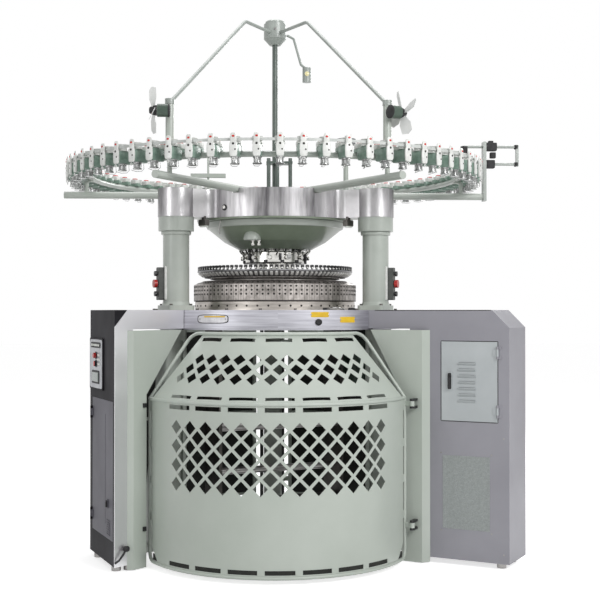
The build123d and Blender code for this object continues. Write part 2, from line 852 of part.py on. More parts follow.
with BuildPart() as takedown_frame:
    ring_bottom = gear_bottom - takedown_ring_thickness
    ring_outer = side_plate_position + side_plate_thickness + 14
    add_turned([
        (takedown_ring_inner, ring_bottom),
        (ring_outer, ring_bottom),
        (ring_outer, gear_bottom),
        (takedown_ring_inner, gear_bottom),
    ])
    plate_height = ring_bottom - side_plate_low
    for side in (-1, 1):
        inner_face = side_plate_position
        if side < 0:
            inner_face = -side_plate_position - side_plate_thickness
        plate_plane = across(side_plate_low + plate_height / 2).offset(inner_face)
        with BuildSketch(plate_plane) as side_plate:
            Rectangle(side_plate_width, plate_height)
        extrude(side_plate.sketch, amount=side_plate_thickness)
    beam_length = 2 * (side_plate_position + side_plate_thickness)
    beam_plane = across(side_plate_low - cross_beam_height / 2).offset(-beam_length / 2)
    with BuildSketch(beam_plane) as beam:
        Rectangle(side_plate_width * 0.6, cross_beam_height)
    extrude(beam.sketch, amount=beam_length)
    pivot_foot = foot_clearance + 30
    pivot_top = side_plate_low - cross_beam_height / 2
    add_bar(Vector(0, 0, pivot_foot), Vector(0, 0, pivot_top), pivot_radius)
    for forward in (-1, 0, 1):
        bore_plane = across(roller_height, forward * (2 * roller_radius + 1)).offset(-beam_length / 2)
        with BuildSketch(bore_plane) as journal_bore:
            Circle(journal_radius + running_gap)
        extrude(journal_bore.sketch, amount=beam_length, mode=Mode.SUBTRACT)
    with BuildSketch(across(fabric_shaft_height).offset(-beam_length / 2)) as shaft_bore:
        Circle(journal_radius + running_gap)
    extrude(shaft_bore.sketch, amount=beam_length, mode=Mode.SUBTRACT)
takedown_frame.part.label = "takedown_frame"
export_step(takedown_frame.part, "parts/takedown_frame.step")


def add_roller(height, forward, radius):
    """A roller between the take-down's side plates, its journals in their bores."""
    half_length = side_plate_position - seat_gap
    with BuildSketch(across(height, forward).offset(-half_length)) as barrel:
        Circle(radius)
    extrude(barrel.sketch, amount=2 * half_length)
    half_reach = side_plate_position + side_plate_thickness
    with BuildSketch(across(height, forward).offset(-half_reach)) as journal:
        Circle(journal_radius)
    extrude(journal.sketch, amount=2 * half_reach)


# Draw rollers, which pull the fabric down
with BuildPart() as draw_roller_front:
    add_roller(roller_height, 2 * roller_radius + 1, roller_radius)
draw_roller_front.part.label = "draw_roller_front"
export_step(draw_roller_front.part, "parts/draw_roller_front.step")

with BuildPart() as draw_roller_middle:
    add_roller(roller_height, 0, roller_radius)
draw_roller_middle.part.label = "draw_roller_middle"
export_step(draw_roller_middle.part, "parts/draw_roller_middle.step")

with BuildPart() as draw_roller_rear:
    add_roller(roller_height, -2 * roller_radius - 1, roller_radius)
draw_roller_rear.part.label = "draw_roller_rear"
export_step(draw_roller_rear.part, "parts/draw_roller_rear.step")

# Fabric shaft, which winds the fabric up
with BuildPart() as fabric_shaft:
    add_roller(fabric_shaft_height, 0, fabric_shaft_radius)
fabric_shaft.part.label = "fabric_shaft"
export_step(fabric_shaft.part, "parts/fabric_shaft.step")

# Drive shaft with the pinion beside the main gear and the belt pulley below
with BuildPart() as drive_shaft:
    shaft_top = plate_bottom + bed_plate_thickness / 2 - seat_gap
    add_bar(
        spot(drive_angle, drive_shaft_circle, drive_pulley_bottom),
        spot(drive_angle, drive_shaft_circle, shaft_top),
        drive_shaft_radius,
    )
    add_bar(
        spot(drive_angle, drive_shaft_circle, gear_bottom),
        spot(drive_angle, drive_shaft_circle, gear_top),
        pinion_radius,
    )
    add_bar(
        spot(drive_angle, drive_shaft_circle, drive_pulley_bottom),
        spot(drive_angle, drive_shaft_circle, drive_pulley_bottom + drive_pulley_height),
        drive_pulley_radius,
    )
drive_shaft.part.label = "drive_shaft"
export_step(drive_shaft.part, "parts/drive_shaft.step")

# Main motor: hangs from the bed flange on a hanger, its shaft upward
motor_top = drive_pulley_bottom - motor_drop
with BuildPart() as main_motor:
    add_bar(
        spot(drive_angle, motor_circle_radius, motor_top - motor_height),
        spot(drive_angle, motor_circle_radius, motor_top),
        motor_radius,
    )
    fin_foot = motor_top - motor_height + motor_fin_margin
    fin_plane = level_plane(drive_angle, motor_circle_radius, fin_foot)
    for number in range(motor_fins):
        with BuildSketch(fin_plane.rotated((0, 0, 360 / motor_fins * number))) as fin:
            with Locations((motor_radius + motor_fin_reach - motor_fin_depth / 2, 0)):
                Rectangle(motor_fin_depth, motor_fin_width)
        extrude(fin.sketch, amount=motor_height - 2 * motor_fin_margin)
    add_bar(
        spot(drive_angle, motor_circle_radius, motor_top),
        spot(drive_angle, motor_circle_radius, drive_pulley_bottom + drive_pulley_height + 6),
        motor_shaft_radius,
    )
    hanger_radius = bed_radius - hanger_inset
    hanger_plane = level_plane(drive_angle, hanger_radius, motor_top - hanger_lap)
    hanger_height = bed_bottom - motor_top + hanger_lap
    add_block(hanger_plane, hanger_thickness, hanger_width, hanger_height)
    plate_middle = (motor_circle_radius + hanger_radius) / 2
    plate_plane = level_plane(drive_angle, plate_middle, motor_top - hanger_thickness)
    plate_length = hanger_radius - motor_circle_radius
    add_block(plate_plane, plate_length, hanger_width, hanger_thickness)
main_motor.part.label = "main_motor"
export_step(main_motor.part, "parts/main_motor.step")

with BuildPart() as motor_pulley:
    add_bar(
        spot(drive_angle, motor_circle_radius, drive_pulley_bottom),
        spot(drive_angle, motor_circle_radius, drive_pulley_bottom + drive_pulley_height),
        drive_pulley_radius,
    )
    add_bar(
        spot(drive_angle, motor_circle_radius, drive_pulley_bottom),
        spot(drive_angle, motor_circle_radius, drive_pulley_bottom + drive_pulley_height),
        motor_shaft_radius + running_gap,
        mode=Mode.SUBTRACT,
    )
motor_pulley.part.label = "motor_pulley"
export_step(motor_pulley.part, "parts/motor_pulley.step")

# Drive belt: a flat loop round the two pulleys
with BuildPart() as drive_belt:
    belt_low = drive_pulley_bottom + belt_margin
    belt_middle = (drive_shaft_circle + motor_circle_radius) / 2
    belt_span = motor_circle_radius - drive_shaft_circle
    inner_radius = drive_pulley_radius + seat_gap
    with BuildSketch(level_plane(drive_angle, belt_middle, belt_low)) as loop:
        SlotCenterToCenter(belt_span, 2 * (inner_radius + belt_thickness))
        SlotCenterToCenter(belt_span, 2 * inner_radius, mode=Mode.SUBTRACT)
    extrude(loop.sketch, amount=drive_pulley_height - 2 * belt_margin)
drive_belt.part.label = "drive_belt"
export_step(drive_belt.part, "parts/drive_belt.step")

# Ring supports: level arms on the top plate, with posts up to the feeder ring
post_circle = feeder_ring_radius + feeder_ring_tube + post_radius + seat_gap
ring_low = feeder_ring_height - feeder_ring_tube
with BuildPart() as ring_supports:
    for angle in arm_angles:
        add_bar(spot(angle, arm_start, arm_height), spot(angle, arm_reach, arm_height), arm_radius)
        saddle_middle = top_plate_radius - top_plate_wall - arm_saddle_length / 2
        for middle in (saddle_middle, arm_start + arm_saddle_length / 2):
            saddle_plane = level_plane(angle, middle, top_plate_top)
            add_block(saddle_plane, arm_saddle_length, 2 * arm_radius + 16, arm_radius)
        post_top = feeder_ring_height + feeder_ring_tube + 4
        add_bar(spot(angle, post_circle, arm_height), spot(angle, post_circle, post_top), post_radius)
        shelf_middle = feeder_ring_radius + 5
        shelf_plane = level_plane(angle, shelf_middle, ring_low - seat_gap - 8)
        add_block(shelf_plane, 2 * feeder_ring_tube + 14, 30, 8)
        if angle in fan_post_angles:
            with BuildSketch(level_plane(angle, post_circle, post_top)) as tube:
                Circle(fan_post_radius)
            extrude(tube.sketch, amount=fan_post_top - post_top)
ring_supports.part.label = "ring_supports"
export_step(ring_supports.part, "parts/ring_supports.step")

# Feeder ring: the round tube that carries the feeders
with BuildPart() as feeder_ring:
    with BuildSketch(Plane.XZ) as tube:
        with Locations((feeder_ring_radius, feeder_ring_height)):
            RegularPolygon(feeder_ring_tube, 10)
    revolve(tube.sketch, axis=Axis.Z)
feeder_ring.part.label = "feeder_ring"
export_step(feeder_ring.part, "parts/feeder_ring.step")

# Feeder housings: one for each yarn, hooked over the ring from outside
feeder_low = feeder_ring_height + feeder_ring_tube + seat_gap
feeder_top = feeder_low + feeder_body_height
skirt_low = feeder_low - feeder_skirt_height
feeder_outer = feeder_ring_radius - feeder_ring_tube - 12 + feeder_depth
with BuildPart() as feeder_housing:
    with BuildSketch(radial_plane(0)) as side_view:
        with BuildLine():
            Polyline(
                (feeder_outer - feeder_depth, feeder_low),
                (feeder_ring_radius + feeder_ring_tube + seat_gap, feeder_low),
                (feeder_ring_radius + feeder_ring_tube + seat_gap, skirt_low),
                (feeder_outer - 8, skirt_low),
                (feeder_outer, skirt_low + 18),
                (feeder_outer, feeder_top),
                (feeder_outer - feeder_depth, feeder_top),
                close=True,
            )
        make_face()
    extrude(amount=feeder_width / 2, both=True)
with BuildPart() as feeder_housings:
    with PolarLocations(0, feeder_count):
        add(feeder_housing.part)
feeder_housings.part.label = "feeder_housings"
export_step(feeder_housings.part, "parts/feeder_housings.step")

# Feeder wheels: a belt pulley above and a yarn wheel below each housing
pulley_circle = feeder_outer - pulley_radius - 22
with BuildPart() as feeder_rotors:
    with BuildSketch(Plane.XY.offset(feeder_top)):
        with PolarLocations(pulley_circle, feeder_count, start_angle=-90):
            RegularPolygon(pulley_radius, 8)
    extrude(amount=pulley_height)
    with BuildSketch(Plane.XY.offset(skirt_low - wheel_height)):
        with PolarLocations(pulley_circle, feeder_count, start_angle=-90):
            RegularPolygon(wheel_radius, 8)
    extrude(amount=wheel_height)
feeder_rotors.part.label = "feeder_rotors"
export_step(feeder_rotors.part, "parts/feeder_rotors.step")

# Feeder belt: the flat loop that runs past every pulley
with BuildPart() as feeder_belt:
    belt_inner = feeder_outer - 22 + seat_gap
    belt_low = feeder_top + (pulley_height - feeder_belt_height) / 2
    add_turned([
        (belt_inner, belt_low),
        (belt_inner + feeder_belt_thickness, belt_low),
        (belt_inner + feeder_belt_thickness, belt_low + feeder_belt_height),
        (belt_inner, belt_low + feeder_belt_height),
    ])
feeder_belt.part.label = "feeder_belt"
export_step(feeder_belt.part, "parts/feeder_belt.step")

# Mast: a tube on a foot flange, braced by three bars, with the hub that carries the arms
with BuildPart() as mast:
    add_bar(Vector(0, 0, top_plate_top), Vector(0, 0, mast_top), mast_radius)
    mast_foot_top = top_plate_top + mast_foot_thickness
    add_bar(Vector(0, 0, top_plate_top), Vector(0, 0, mast_foot_top), mast_foot_radius)
    for place in brace_places:
        brace_foot = Vector(place, -brace_forward, mast_foot_top)
        add_bar(brace_foot, brace_foot + Vector(0, 0, brace_height), brace_radius)
    with BuildSketch(Plane.XY.offset(top_plate_top + brace_plate_rise)):
        with Locations(((brace_places[0] + brace_places[-1]) / 2, -brace_forward / 2)):
            Rectangle(brace_plate_length, brace_plate_width)
    extrude(amount=brace_plate_thickness)
mast.part.label = "mast"
export_step(mast.part, "parts/mast.step")

with BuildPart() as mast_hub:
    hub_top = mast_top + mast_hub_height
    add_turned([
        (0, mast_top),
        (mast_hub_radius * 0.5, mast_top),
        (mast_hub_radius, mast_top + mast_hub_cone),
        (mast_hub_radius, hub_top - mast_hub_cap),
        (mast_hub_radius * 0.86, hub_top - mast_hub_cap),
        (mast_hub_radius * 0.86, hub_top - mast_hub_edge),
        (mast_hub_radius * 0.7, hub_top),
        (0, hub_top),
    ])
mast_hub.part.label = "mast_hub"
export_step(mast_hub.part, "parts/mast_hub.step")

# Mast arms: two bent tubes out to the fan posts, and a short one that holds the lamp
with BuildPart() as mast_arms:
    for angle in fan_post_angles:
        with BuildLine(radial_plane(angle)) as path:
            FilletPolyline(
                (mast_hub_radius + seat_gap, fan_arm_height),
                (fan_arm_bend, fan_arm_height),
                (post_circle - fan_arm_end_run, fan_post_top + fan_arm_end_rise),
                (post_circle, fan_post_top + fan_arm_end_height),
                radius=(fan_arm_bend_radius, fan_arm_end_radius),
            )
        arm_foot = spot(angle, mast_hub_radius + seat_gap, fan_arm_height)
        with BuildSketch(Plane(origin=arm_foot, z_dir=outward(angle))) as section:
            Circle(fan_arm_radius)
        sweep(section.sketch, path=path.line)
        add_bar(
            spot(angle, post_circle, fan_post_top),
            spot(angle, post_circle, fan_post_top + fan_cap_height),
            fan_post_radius + fan_cap_wall,
        )
    lamp_start = (mast_hub_radius + lamp_arm_radius / 2, mast_top + lamp_arm_rise)
    lamp_bends = [(out, mast_top + rise) for out, rise in lamp_arm_bends]
    with BuildLine(radial_plane(lamp_angle)) as lamp_path:
        FilletPolyline(lamp_start, *lamp_bends, radius=(20, 12))
    lamp_foot = spot(lamp_angle, *lamp_start)
    lamp_run = spot(lamp_angle, *lamp_bends[0]) - lamp_foot
    with BuildSketch(Plane(origin=lamp_foot, z_dir=lamp_run)) as lamp_section:
        Circle(lamp_arm_radius)
    sweep(lamp_section.sketch, path=lamp_path.line)
    lamp_top = spot(lamp_angle, lamp_reach, mast_top - lamp_drop)
    add_bar(lamp_top - Vector(0, 0, lamp_height), lamp_top, lamp_radius)
mast_arms.part.label = "mast_arms"
export_step(mast_arms.part, "parts/mast_arms.step")


def facing(point, direction, height=0.0):
    """An upright plane at a point, facing a level direction: x level, y up."""
    origin = Vector(point.X, point.Y, point.Z + height)
    return Plane(origin=origin, x_dir=Vector(-direction.Y, direction.X, 0), z_dir=direction)


# Fan motors, each on a bracket in front of its post
fan_motor_circle = post_circle + fan_post_radius + fan_motor_radius + fan_motor_offset
fan_places = {
    "left": (spot(fan_post_angles[0], fan_motor_circle, fan_height), Vector(-1, 0, 0)),
    "right": (spot(fan_post_angles[1], fan_motor_circle, fan_height), sideways(fan_post_angles[1])),
}
with BuildPart() as fan_motors:
    for angle, (centre, axis) in zip(fan_post_angles, fan_places.values()):
        motor_face = centre + axis * fan_motor_front
        add_bar(motor_face - axis * fan_motor_length, motor_face, fan_motor_radius)
        add_bar(centre, motor_face + axis * fan_shaft_length, fan_shaft_radius)
        bracket_inner = post_circle + fan_post_radius + seat_gap
        bracket_outer = fan_motor_circle - fan_motor_radius * 0.6
        bracket_middle = (bracket_inner + bracket_outer) / 2
        bracket_plane = level_plane(angle, bracket_middle, fan_height - fan_bracket_height / 2)
        add_block(bracket_plane, bracket_outer - bracket_inner, fan_bracket_width, fan_bracket_height)
fan_motors.part.label = "fan_motors"
export_step(fan_motors.part, "parts/fan_motors.step")


def add_fan(centre, axis):
    """A coned hub on the motor's shaft with four pitched blades."""
    back = centre + axis * (fan_motor_front + seat_gap)
    front = back + axis * (fan_shaft_length - 2)
    with BuildSketch(Plane(origin=back, z_dir=axis)) as hub_back:
        Circle(fan_hub_radius)
    with BuildSketch(Plane(origin=front, z_dir=axis)) as hub_front:
        Circle(fan_nose_radius)
    loft([hub_back.sketch, hub_front.sketch])
    middle = (back + front) / 2
    across_axis = Vector(0, 0, 1).cross(axis)
    for number in range(fan_blade_count):
        turn = radians(360 / fan_blade_count * number + fan_blade_turn)
        reach = Vector(0, 0, 1) * cos(turn) + across_axis * sin(turn)
        edge = axis.cross(reach)
        pitch = radians(fan_blade_pitch)
        blade_plane = Plane(origin=middle, x_dir=reach, z_dir=axis * cos(pitch) + edge * sin(pitch))
        with BuildSketch(blade_plane) as blade:
            with BuildLine():
                Polyline((12, -9), (60, -32), (104, -30), (fan_blade_radius, -8))
                Line((fan_blade_radius, -8), (fan_blade_radius - 10, 26))
                Polyline((fan_blade_radius - 10, 26), (60, 28), (12, 9), (12, -9))
            make_face()
        extrude(blade.sketch, amount=fan_blade_thickness / 2, both=True)
    add_bar(back, front, fan_shaft_radius + running_gap, mode=Mode.SUBTRACT)


with BuildPart() as fan_blades_left:
    add_fan(*fan_places["left"])
fan_blades_left.part.label = "fan_blades_left"
export_step(fan_blades_left.part, "parts/fan_blades_left.step")

with BuildPart() as fan_blades_right:
    add_fan(*fan_places["right"])
fan_blades_right.part.label = "fan_blades_right"
export_step(fan_blades_right.part, "parts/fan_blades_right.step")

# Belt tensioner: a welded frame of rods on the right arm's end
with BuildPart() as belt_tensioner:
    plate_middle = arm_reach + tensioner_plate_thickness / 2
    plate_low = arm_height - arm_radius - 6
    add_block(
        level_plane(tensioner_angle, plate_middle, plate_low),
        tensioner_plate_thickness,
        tensioner_plate_width,
        tensioner_plate_height,
    )
    for height, rod_start, block_length in (
        (tensioner_upper, tensioner_start, upper_block_length),
        (tensioner_lower, plate_middle, lower_block_length),
    ):
        add_bar(
            spot(tensioner_angle, rod_start, height),
            spot(tensioner_angle, tensioner_reach, height),
            tensioner_rod_radius,
        )
        block_middle = arm_reach + tensioner_plate_thickness - 1 + block_length / 2
        block_plane = level_plane(tensioner_angle, block_middle, height - tensioner_block_height / 2)
        add_block(block_plane, block_length, tensioner_block_height, tensioner_block_height)
    end_margin = tensioner_rod_radius + 4
    add_block(
        level_plane(tensioner_angle, tensioner_reach, tensioner_lower - end_margin),
        14,
        tensioner_end_width,
        tensioner_upper - tensioner_lower + 2 * end_margin,
    )
    add_bar(
        spot(tensioner_angle, tensioner_start, tensioner_upper - tensioner_pulley_height),
        spot(tensioner_angle, tensioner_start, tensioner_upper),
        tensioner_pulley_radius,
    )
belt_tensioner.part.label = "belt_tensioner"
export_step(belt_tensioner.part, "parts/belt_tensioner.step")

# Quality stands: thin posts on the top plate; the right one carries the belt pulley
left_stand, right_stand = [spot(angle, stand_circle, top_plate_top) for angle in stand_angles]
with BuildPart() as quality_stands:
    for stand, height in ((left_stand, left_stand_height), (right_stand, right_stand_height)):
        add_bar(stand, stand + Vector(0, 0, height), stand_radius)
        add_bar(stand, stand + Vector(0, 0, stand_foot_thickness), stand_foot_radius)
    with BuildSketch(Plane(origin=left_stand + Vector(0, 0, stand_shelf_rise))) as shelf:
        Rectangle(stand_shelf_length, stand_shelf_width)
    extrude(shelf.sketch, amount=stand_shelf_thickness)
    add_bar(right_stand, right_stand + Vector(0, 0, quality_pulley_rise), stand_sleeve_radius)
quality_stands.part.label = "quality_stands"
export_step(quality_stands.part, "parts/quality_stands.step")

with BuildPart() as quality_pulley:
    pulley_low = right_stand + Vector(0, 0, quality_pulley_rise + seat_gap)
    pulley_high = pulley_low + Vector(0, 0, quality_pulley_height)
    rim = Vector(0, 0, quality_pulley_rim)
    add_bar(pulley_low, pulley_low + rim, quality_pulley_radius)
    add_bar(pulley_low, pulley_high, quality_pulley_radius - quality_pulley_groove)
    add_bar(pulley_high - rim, pulley_high, quality_pulley_radius)
    add_bar(pulley_low, pulley_high, stand_radius + running_gap, mode=Mode.SUBTRACT)
quality_pulley.part.label = "quality_pulley"
export_step(quality_pulley.part, "parts/quality_pulley.step")


# Switch stations: a narrow box on each front column with three bores for its buttons
station_places = {}
for side, column_angle in (("left", column_angles[0]), ("right", column_angles[1])):
    direction = outward(station_angle if column_angle > 0 else -station_angle)
    column_spot = spot(column_angle, column_circle_radius, station_middle)
    station_places[side] = (column_spot + direction * (column_radius + station_depth), direction)
button_offsets = {"start": button_pitch, "stop": 0.0, "jog": -button_pitch}
with BuildPart() as switch_stations:
    for side, column_angle in (("left", column_angles[0]), ("right", column_angles[1])):
        front, direction = station_places[side]
        with BuildSketch(facing(front, direction)) as station:
            RectangleRounded(station_width, station_height, 8)
        extrude(station.sketch, amount=-station_depth - 12)
        for offset in button_offsets.values():
            bore = front + Vector(0, 0, offset)
            add_bar(bore, bore - direction * 20, button_stem_radius + seat_gap, mode=Mode.SUBTRACT)
        add_bar(
            spot(column_angle, column_circle_radius, bed_top),
            spot(column_angle, column_circle_radius, column_top),
            column_radius + seat_gap,
            mode=Mode.SUBTRACT,
        )
switch_stations.part.label = "switch_stations"
export_step(switch_stations.part, "parts/switch_stations.step")


def add_button(side, name, radius, height):
    """A button cap with its stem, standing proud of its station by the cap and its travel."""
    front, direction = station_places[side]
    foot = front + Vector(0, 0, button_offsets[name]) + direction * (button_travel + seat_gap)
    add_bar(foot, foot + direction * height, radius)
    add_bar(foot - direction * (button_travel + seat_gap + 10), foot, button_stem_radius)


with BuildPart() as stop_button_left:
    add_button("left", "stop", stop_button_radius, stop_button_height)
stop_button_left.part.label = "stop_button_left"
export_step(stop_button_left.part, "parts/stop_button_left.step")

with BuildPart() as stop_button_right:
    add_button("right", "stop", stop_button_radius, stop_button_height)
stop_button_right.part.label = "stop_button_right"
export_step(stop_button_right.part, "parts/stop_button_right.step")

with BuildPart() as start_button_left:
    add_button("left", "start", button_radius, button_height)
start_button_left.part.label = "start_button_left"
export_step(start_button_left.part, "parts/start_button_left.step")

with BuildPart() as start_button_right:
    add_button("right", "start", button_radius, button_height)
start_button_right.part.label = "start_button_right"
export_step(start_button_right.part, "parts/start_button_right.step")

with BuildPart() as jog_button_left:
    add_button("left", "jog", button_radius, button_height)
jog_button_left.part.label = "jog_button_left"
export_step(jog_button_left.part, "parts/jog_button_left.step")

with BuildPart() as jog_button_right:
    add_button("right", "jog", button_radius, button_height)
jog_button_right.part.label = "jog_button_right"
export_step(jog_button_right.part, "parts/jog_button_right.step")

# Right cabinet: a folded sheet housing with a chamfered outer edge, a door opening and a vent
right_plan = [
    right_face(right_face_begin),
    right_face(right_face_end),
    right_face(right_face_end, right_cabinet_depth),
    right_face(right_face_begin, right_cabinet_depth),
]
band_clearance = trim_radius + seat_gap
right_band_begin = sqrt(band_clearance ** 2 - right_face_distance ** 2) - 60
right_band = [
    right_face(right_band_begin),
    right_face(right_face_end),
    right_face(right_face_end, right_cabinet_depth),
    right_face(right_band_begin, right_cabinet_depth),
]
right_band_room = [
    right_face(right_band_begin, cabinet_sheet),
    right_face(right_face_end - right_chamfer - cabinet_sheet, cabinet_sheet),
    right_face(right_face_end - right_chamfer - cabinet_sheet, right_cabinet_depth - cabinet_sheet),
    right_face(right_band_begin, right_cabinet_depth - cabinet_sheet),
]
right_room = [
    right_face(right_face_begin + cabinet_sheet, cabinet_sheet),
    right_face(right_face_end - cabinet_sheet, cabinet_sheet),
    right_face(right_face_end - cabinet_sheet, right_cabinet_depth - cabinet_sheet),
    right_face(right_face_begin + cabinet_sheet, right_cabinet_depth - cabinet_sheet),
]


def add_band(points, low, high, clearance, mode=Mode.ADD):
    """The part of a cabinet that reaches in to the bed, hollowed to clear the bed trim."""
    with BuildSketch(Plane.XY.offset(low)) as band:
        with BuildLine():
            Polyline(*[(point.X, point.Y) for point in points], close=True)
        make_face()
        Circle(clearance, mode=Mode.SUBTRACT)
    extrude(band.sketch, amount=high - low, mode=mode)


right_outward = -right_inward
door_end = door_begin + door_width
door_middle = (door_low + door_high) / 2
door_hinge = right_face(door_end + 2, -hinge_set_out)
door_hinge_heights = (door_low + 55, door_high - 55)


def add_cabinet_hinge(axis_spot, height, along, inward):
    """The fixed half of a door hinge: a pin between two ends on leaves against the cabinet."""
    end_height = hinge_end_length - seat_gap
    foot = axis_spot + Vector(0, 0, height - knuckle_length / 2 - hinge_end_length)
    add_bar(foot, foot + Vector(0, 0, knuckle_length + 2 * hinge_end_length), door_pin_radius)
    for low in (0, knuckle_length + hinge_end_length + seat_gap):
        low_spot = foot + Vector(0, 0, low)
        add_bar(low_spot, low_spot + Vector(0, 0, end_height), knuckle_radius)
        leaf = low_spot + along * 10 + inward * (hinge_set_out - 2)
        leaf_plane = Plane(origin=leaf, x_dir=along, z_dir=(0, 0, 1))
        add_block(leaf_plane, 20, 4, end_height)


def add_door_knuckle(axis_spot, height, along, inward):
    """The door's half of a hinge: a knuckle on a leaf against the door's front."""
    foot = axis_spot + Vector(0, 0, height - knuckle_length / 2)
    add_bar(foot, foot + Vector(0, 0, knuckle_length), knuckle_radius)
    leaf_plane = Plane(origin=foot - along * 13.5 + inward * 4.75, x_dir=along, z_dir=(0, 0, 1))
    add_block(leaf_plane, 21, 5.5, knuckle_length)
    bore_radius = door_pin_radius + running_gap
    add_bar(foot, foot + Vector(0, 0, knuckle_length), bore_radius, mode=Mode.SUBTRACT)


with BuildPart() as cabinet_right:
    add_plan(right_plan, cabinet_bottom, bed_top)
    add_band(right_band, cabinet_band_low, bed_top, band_clearance)
    add_plan(
        right_room,
        cabinet_bottom + cabinet_sheet,
        cabinet_band_low - cabinet_sheet,
        mode=Mode.SUBTRACT,
    )
    add_band(
        right_band_room,
        cabinet_band_low + cabinet_sheet,
        bed_top - cabinet_sheet,
        band_clearance + cabinet_sheet,
        mode=Mode.SUBTRACT,
    )
    with BuildSketch(facing(right_face(right_face_end, -1), right_outward)) as corner:
        with BuildLine():
            Polyline(
                (-right_chamfer - 1, bed_top + 1),
                (5, bed_top + 1),
                (5, bed_top - right_chamfer - 5),
                close=True,
            )
        make_face()
    extrude(corner.sketch, amount=-right_cabinet_depth - 5, mode=Mode.SUBTRACT)
    door_centre = right_face(door_begin + door_width / 2, -1)
    with BuildSketch(facing(door_centre, right_outward, door_middle)) as hole:
        Rectangle(door_width + 2 * door_gap, door_high - door_low + 2 * door_gap)
    extrude(hole.sketch, amount=-cabinet_sheet - 2, mode=Mode.SUBTRACT)
    slot_pitch = (vent_high - vent_low) / vent_slots
    vent_centre = right_face(vent_begin + vent_width / 2, -1)
    with BuildSketch(facing(vent_centre, right_outward, (vent_low + vent_high) / 2)) as vent:
        with GridLocations(0, slot_pitch, 1, vent_slots):
            Rectangle(vent_width, slot_pitch * vent_slot_share)
    extrude(vent.sketch, amount=-cabinet_sheet - 2, mode=Mode.SUBTRACT)
    for height in door_hinge_heights:
        add_cabinet_hinge(door_hinge, height, right_along, right_inward)
cabinet_right.part.label = "cabinet_right"
export_step(cabinet_right.part, "parts/cabinet_right.step")

# Electrical door: a sheet in the cabinet's opening with pressed louvres and a handle plate
with BuildPart() as electrical_door:
    with BuildSketch(facing(right_face(door_begin + door_width / 2), right_outward, door_middle)) as sheet:
        Rectangle(door_width, door_high - door_low)
    extrude(sheet.sketch, amount=-door_sheet)
    for number in range(louvre_count):
        height = door_middle + louvre_pitch * (number - (louvre_count - 1) / 2)
        hood_plane = Plane(
            origin=right_face(louvre_middle - louvre_width / 2, 0, height),
            x_dir=right_outward,
            z_dir=right_along,
        )
        with BuildSketch(hood_plane) as hood:
            with BuildLine():
                Polyline(
                    (-1, 0),
                    (louvre_rise, 0),
                    (louvre_rise, 3),
                    (0, louvre_drop),
                    (-1, louvre_drop),
                    close=True,
                )
            make_face()
        extrude(hood.sketch, amount=louvre_width)
        with BuildSketch(hood_plane.offset(4)) as throat:
            with BuildLine():
                Polyline(
                    (-door_sheet - 1, -1),
                    (louvre_rise - 2, -1),
                    (louvre_rise - 2, 2),
                    (0, louvre_drop * 0.6),
                    (-door_sheet - 1, louvre_drop * 0.6),
                    close=True,
                )
            make_face()
        extrude(throat.sketch, amount=louvre_width - 8, mode=Mode.SUBTRACT)
    with BuildSketch(facing(right_face(handle_along), right_outward, door_middle)) as handle:
        RectangleRounded(handle_width, handle_length, 6)
    extrude(handle.sketch, amount=handle_thickness)
    for height in door_hinge_heights:
        add_door_knuckle(door_hinge, height, right_along, right_inward)
electrical_door.part.label = "electrical_door"
export_step(electrical_door.part, "parts/electrical_door.step")

# Left cabinet: the dark control cabinet behind the silver face, with its head and door opening
left_set_back = face_cover_sheet + seat_gap
left_outward = -left_side_inward
left_plan = [
    left_side(left_set_back * 1.14),
    left_face(left_face_begin, left_set_back),
    left_side(left_side_length - 20, left_cabinet_depth),
    left_side(left_side_length),
]
left_band_front = sqrt(band_clearance ** 2 - left_face_distance ** 2) - 20
left_band = [
    left_side(left_set_back * 1.14),
    left_face(left_band_front, left_set_back),
    Vector(-640, -300, 0),
    left_side(left_side_length - 20, left_cabinet_depth),
    left_side(left_side_length),
]
left_room = [
    left_side(2 * cabinet_sheet, cabinet_sheet),
    left_face(left_face_begin + cabinet_sheet, left_set_back + cabinet_sheet),
    left_side(left_side_length - 25, left_cabinet_depth - cabinet_sheet - 1),
    left_side(left_side_length - 5, cabinet_sheet),
]
left_band_room = [
    left_side(face_cover_chamfer, cabinet_sheet),
    left_face(left_band_front, left_set_back + cabinet_sheet),
    Vector(-645, -305, 0),
    left_side(left_side_length - 25, left_cabinet_depth - cabinet_sheet - 1),
    left_side(left_side_length - 5, cabinet_sheet),
]
side_door_middle = (side_door_low + side_door_high) / 2
side_door_end = side_door_begin + side_door_width
side_door_hinge = left_side(side_door_end + 2, -hinge_set_out)
side_hinge_heights = (side_door_low + 80, side_door_high - 80)
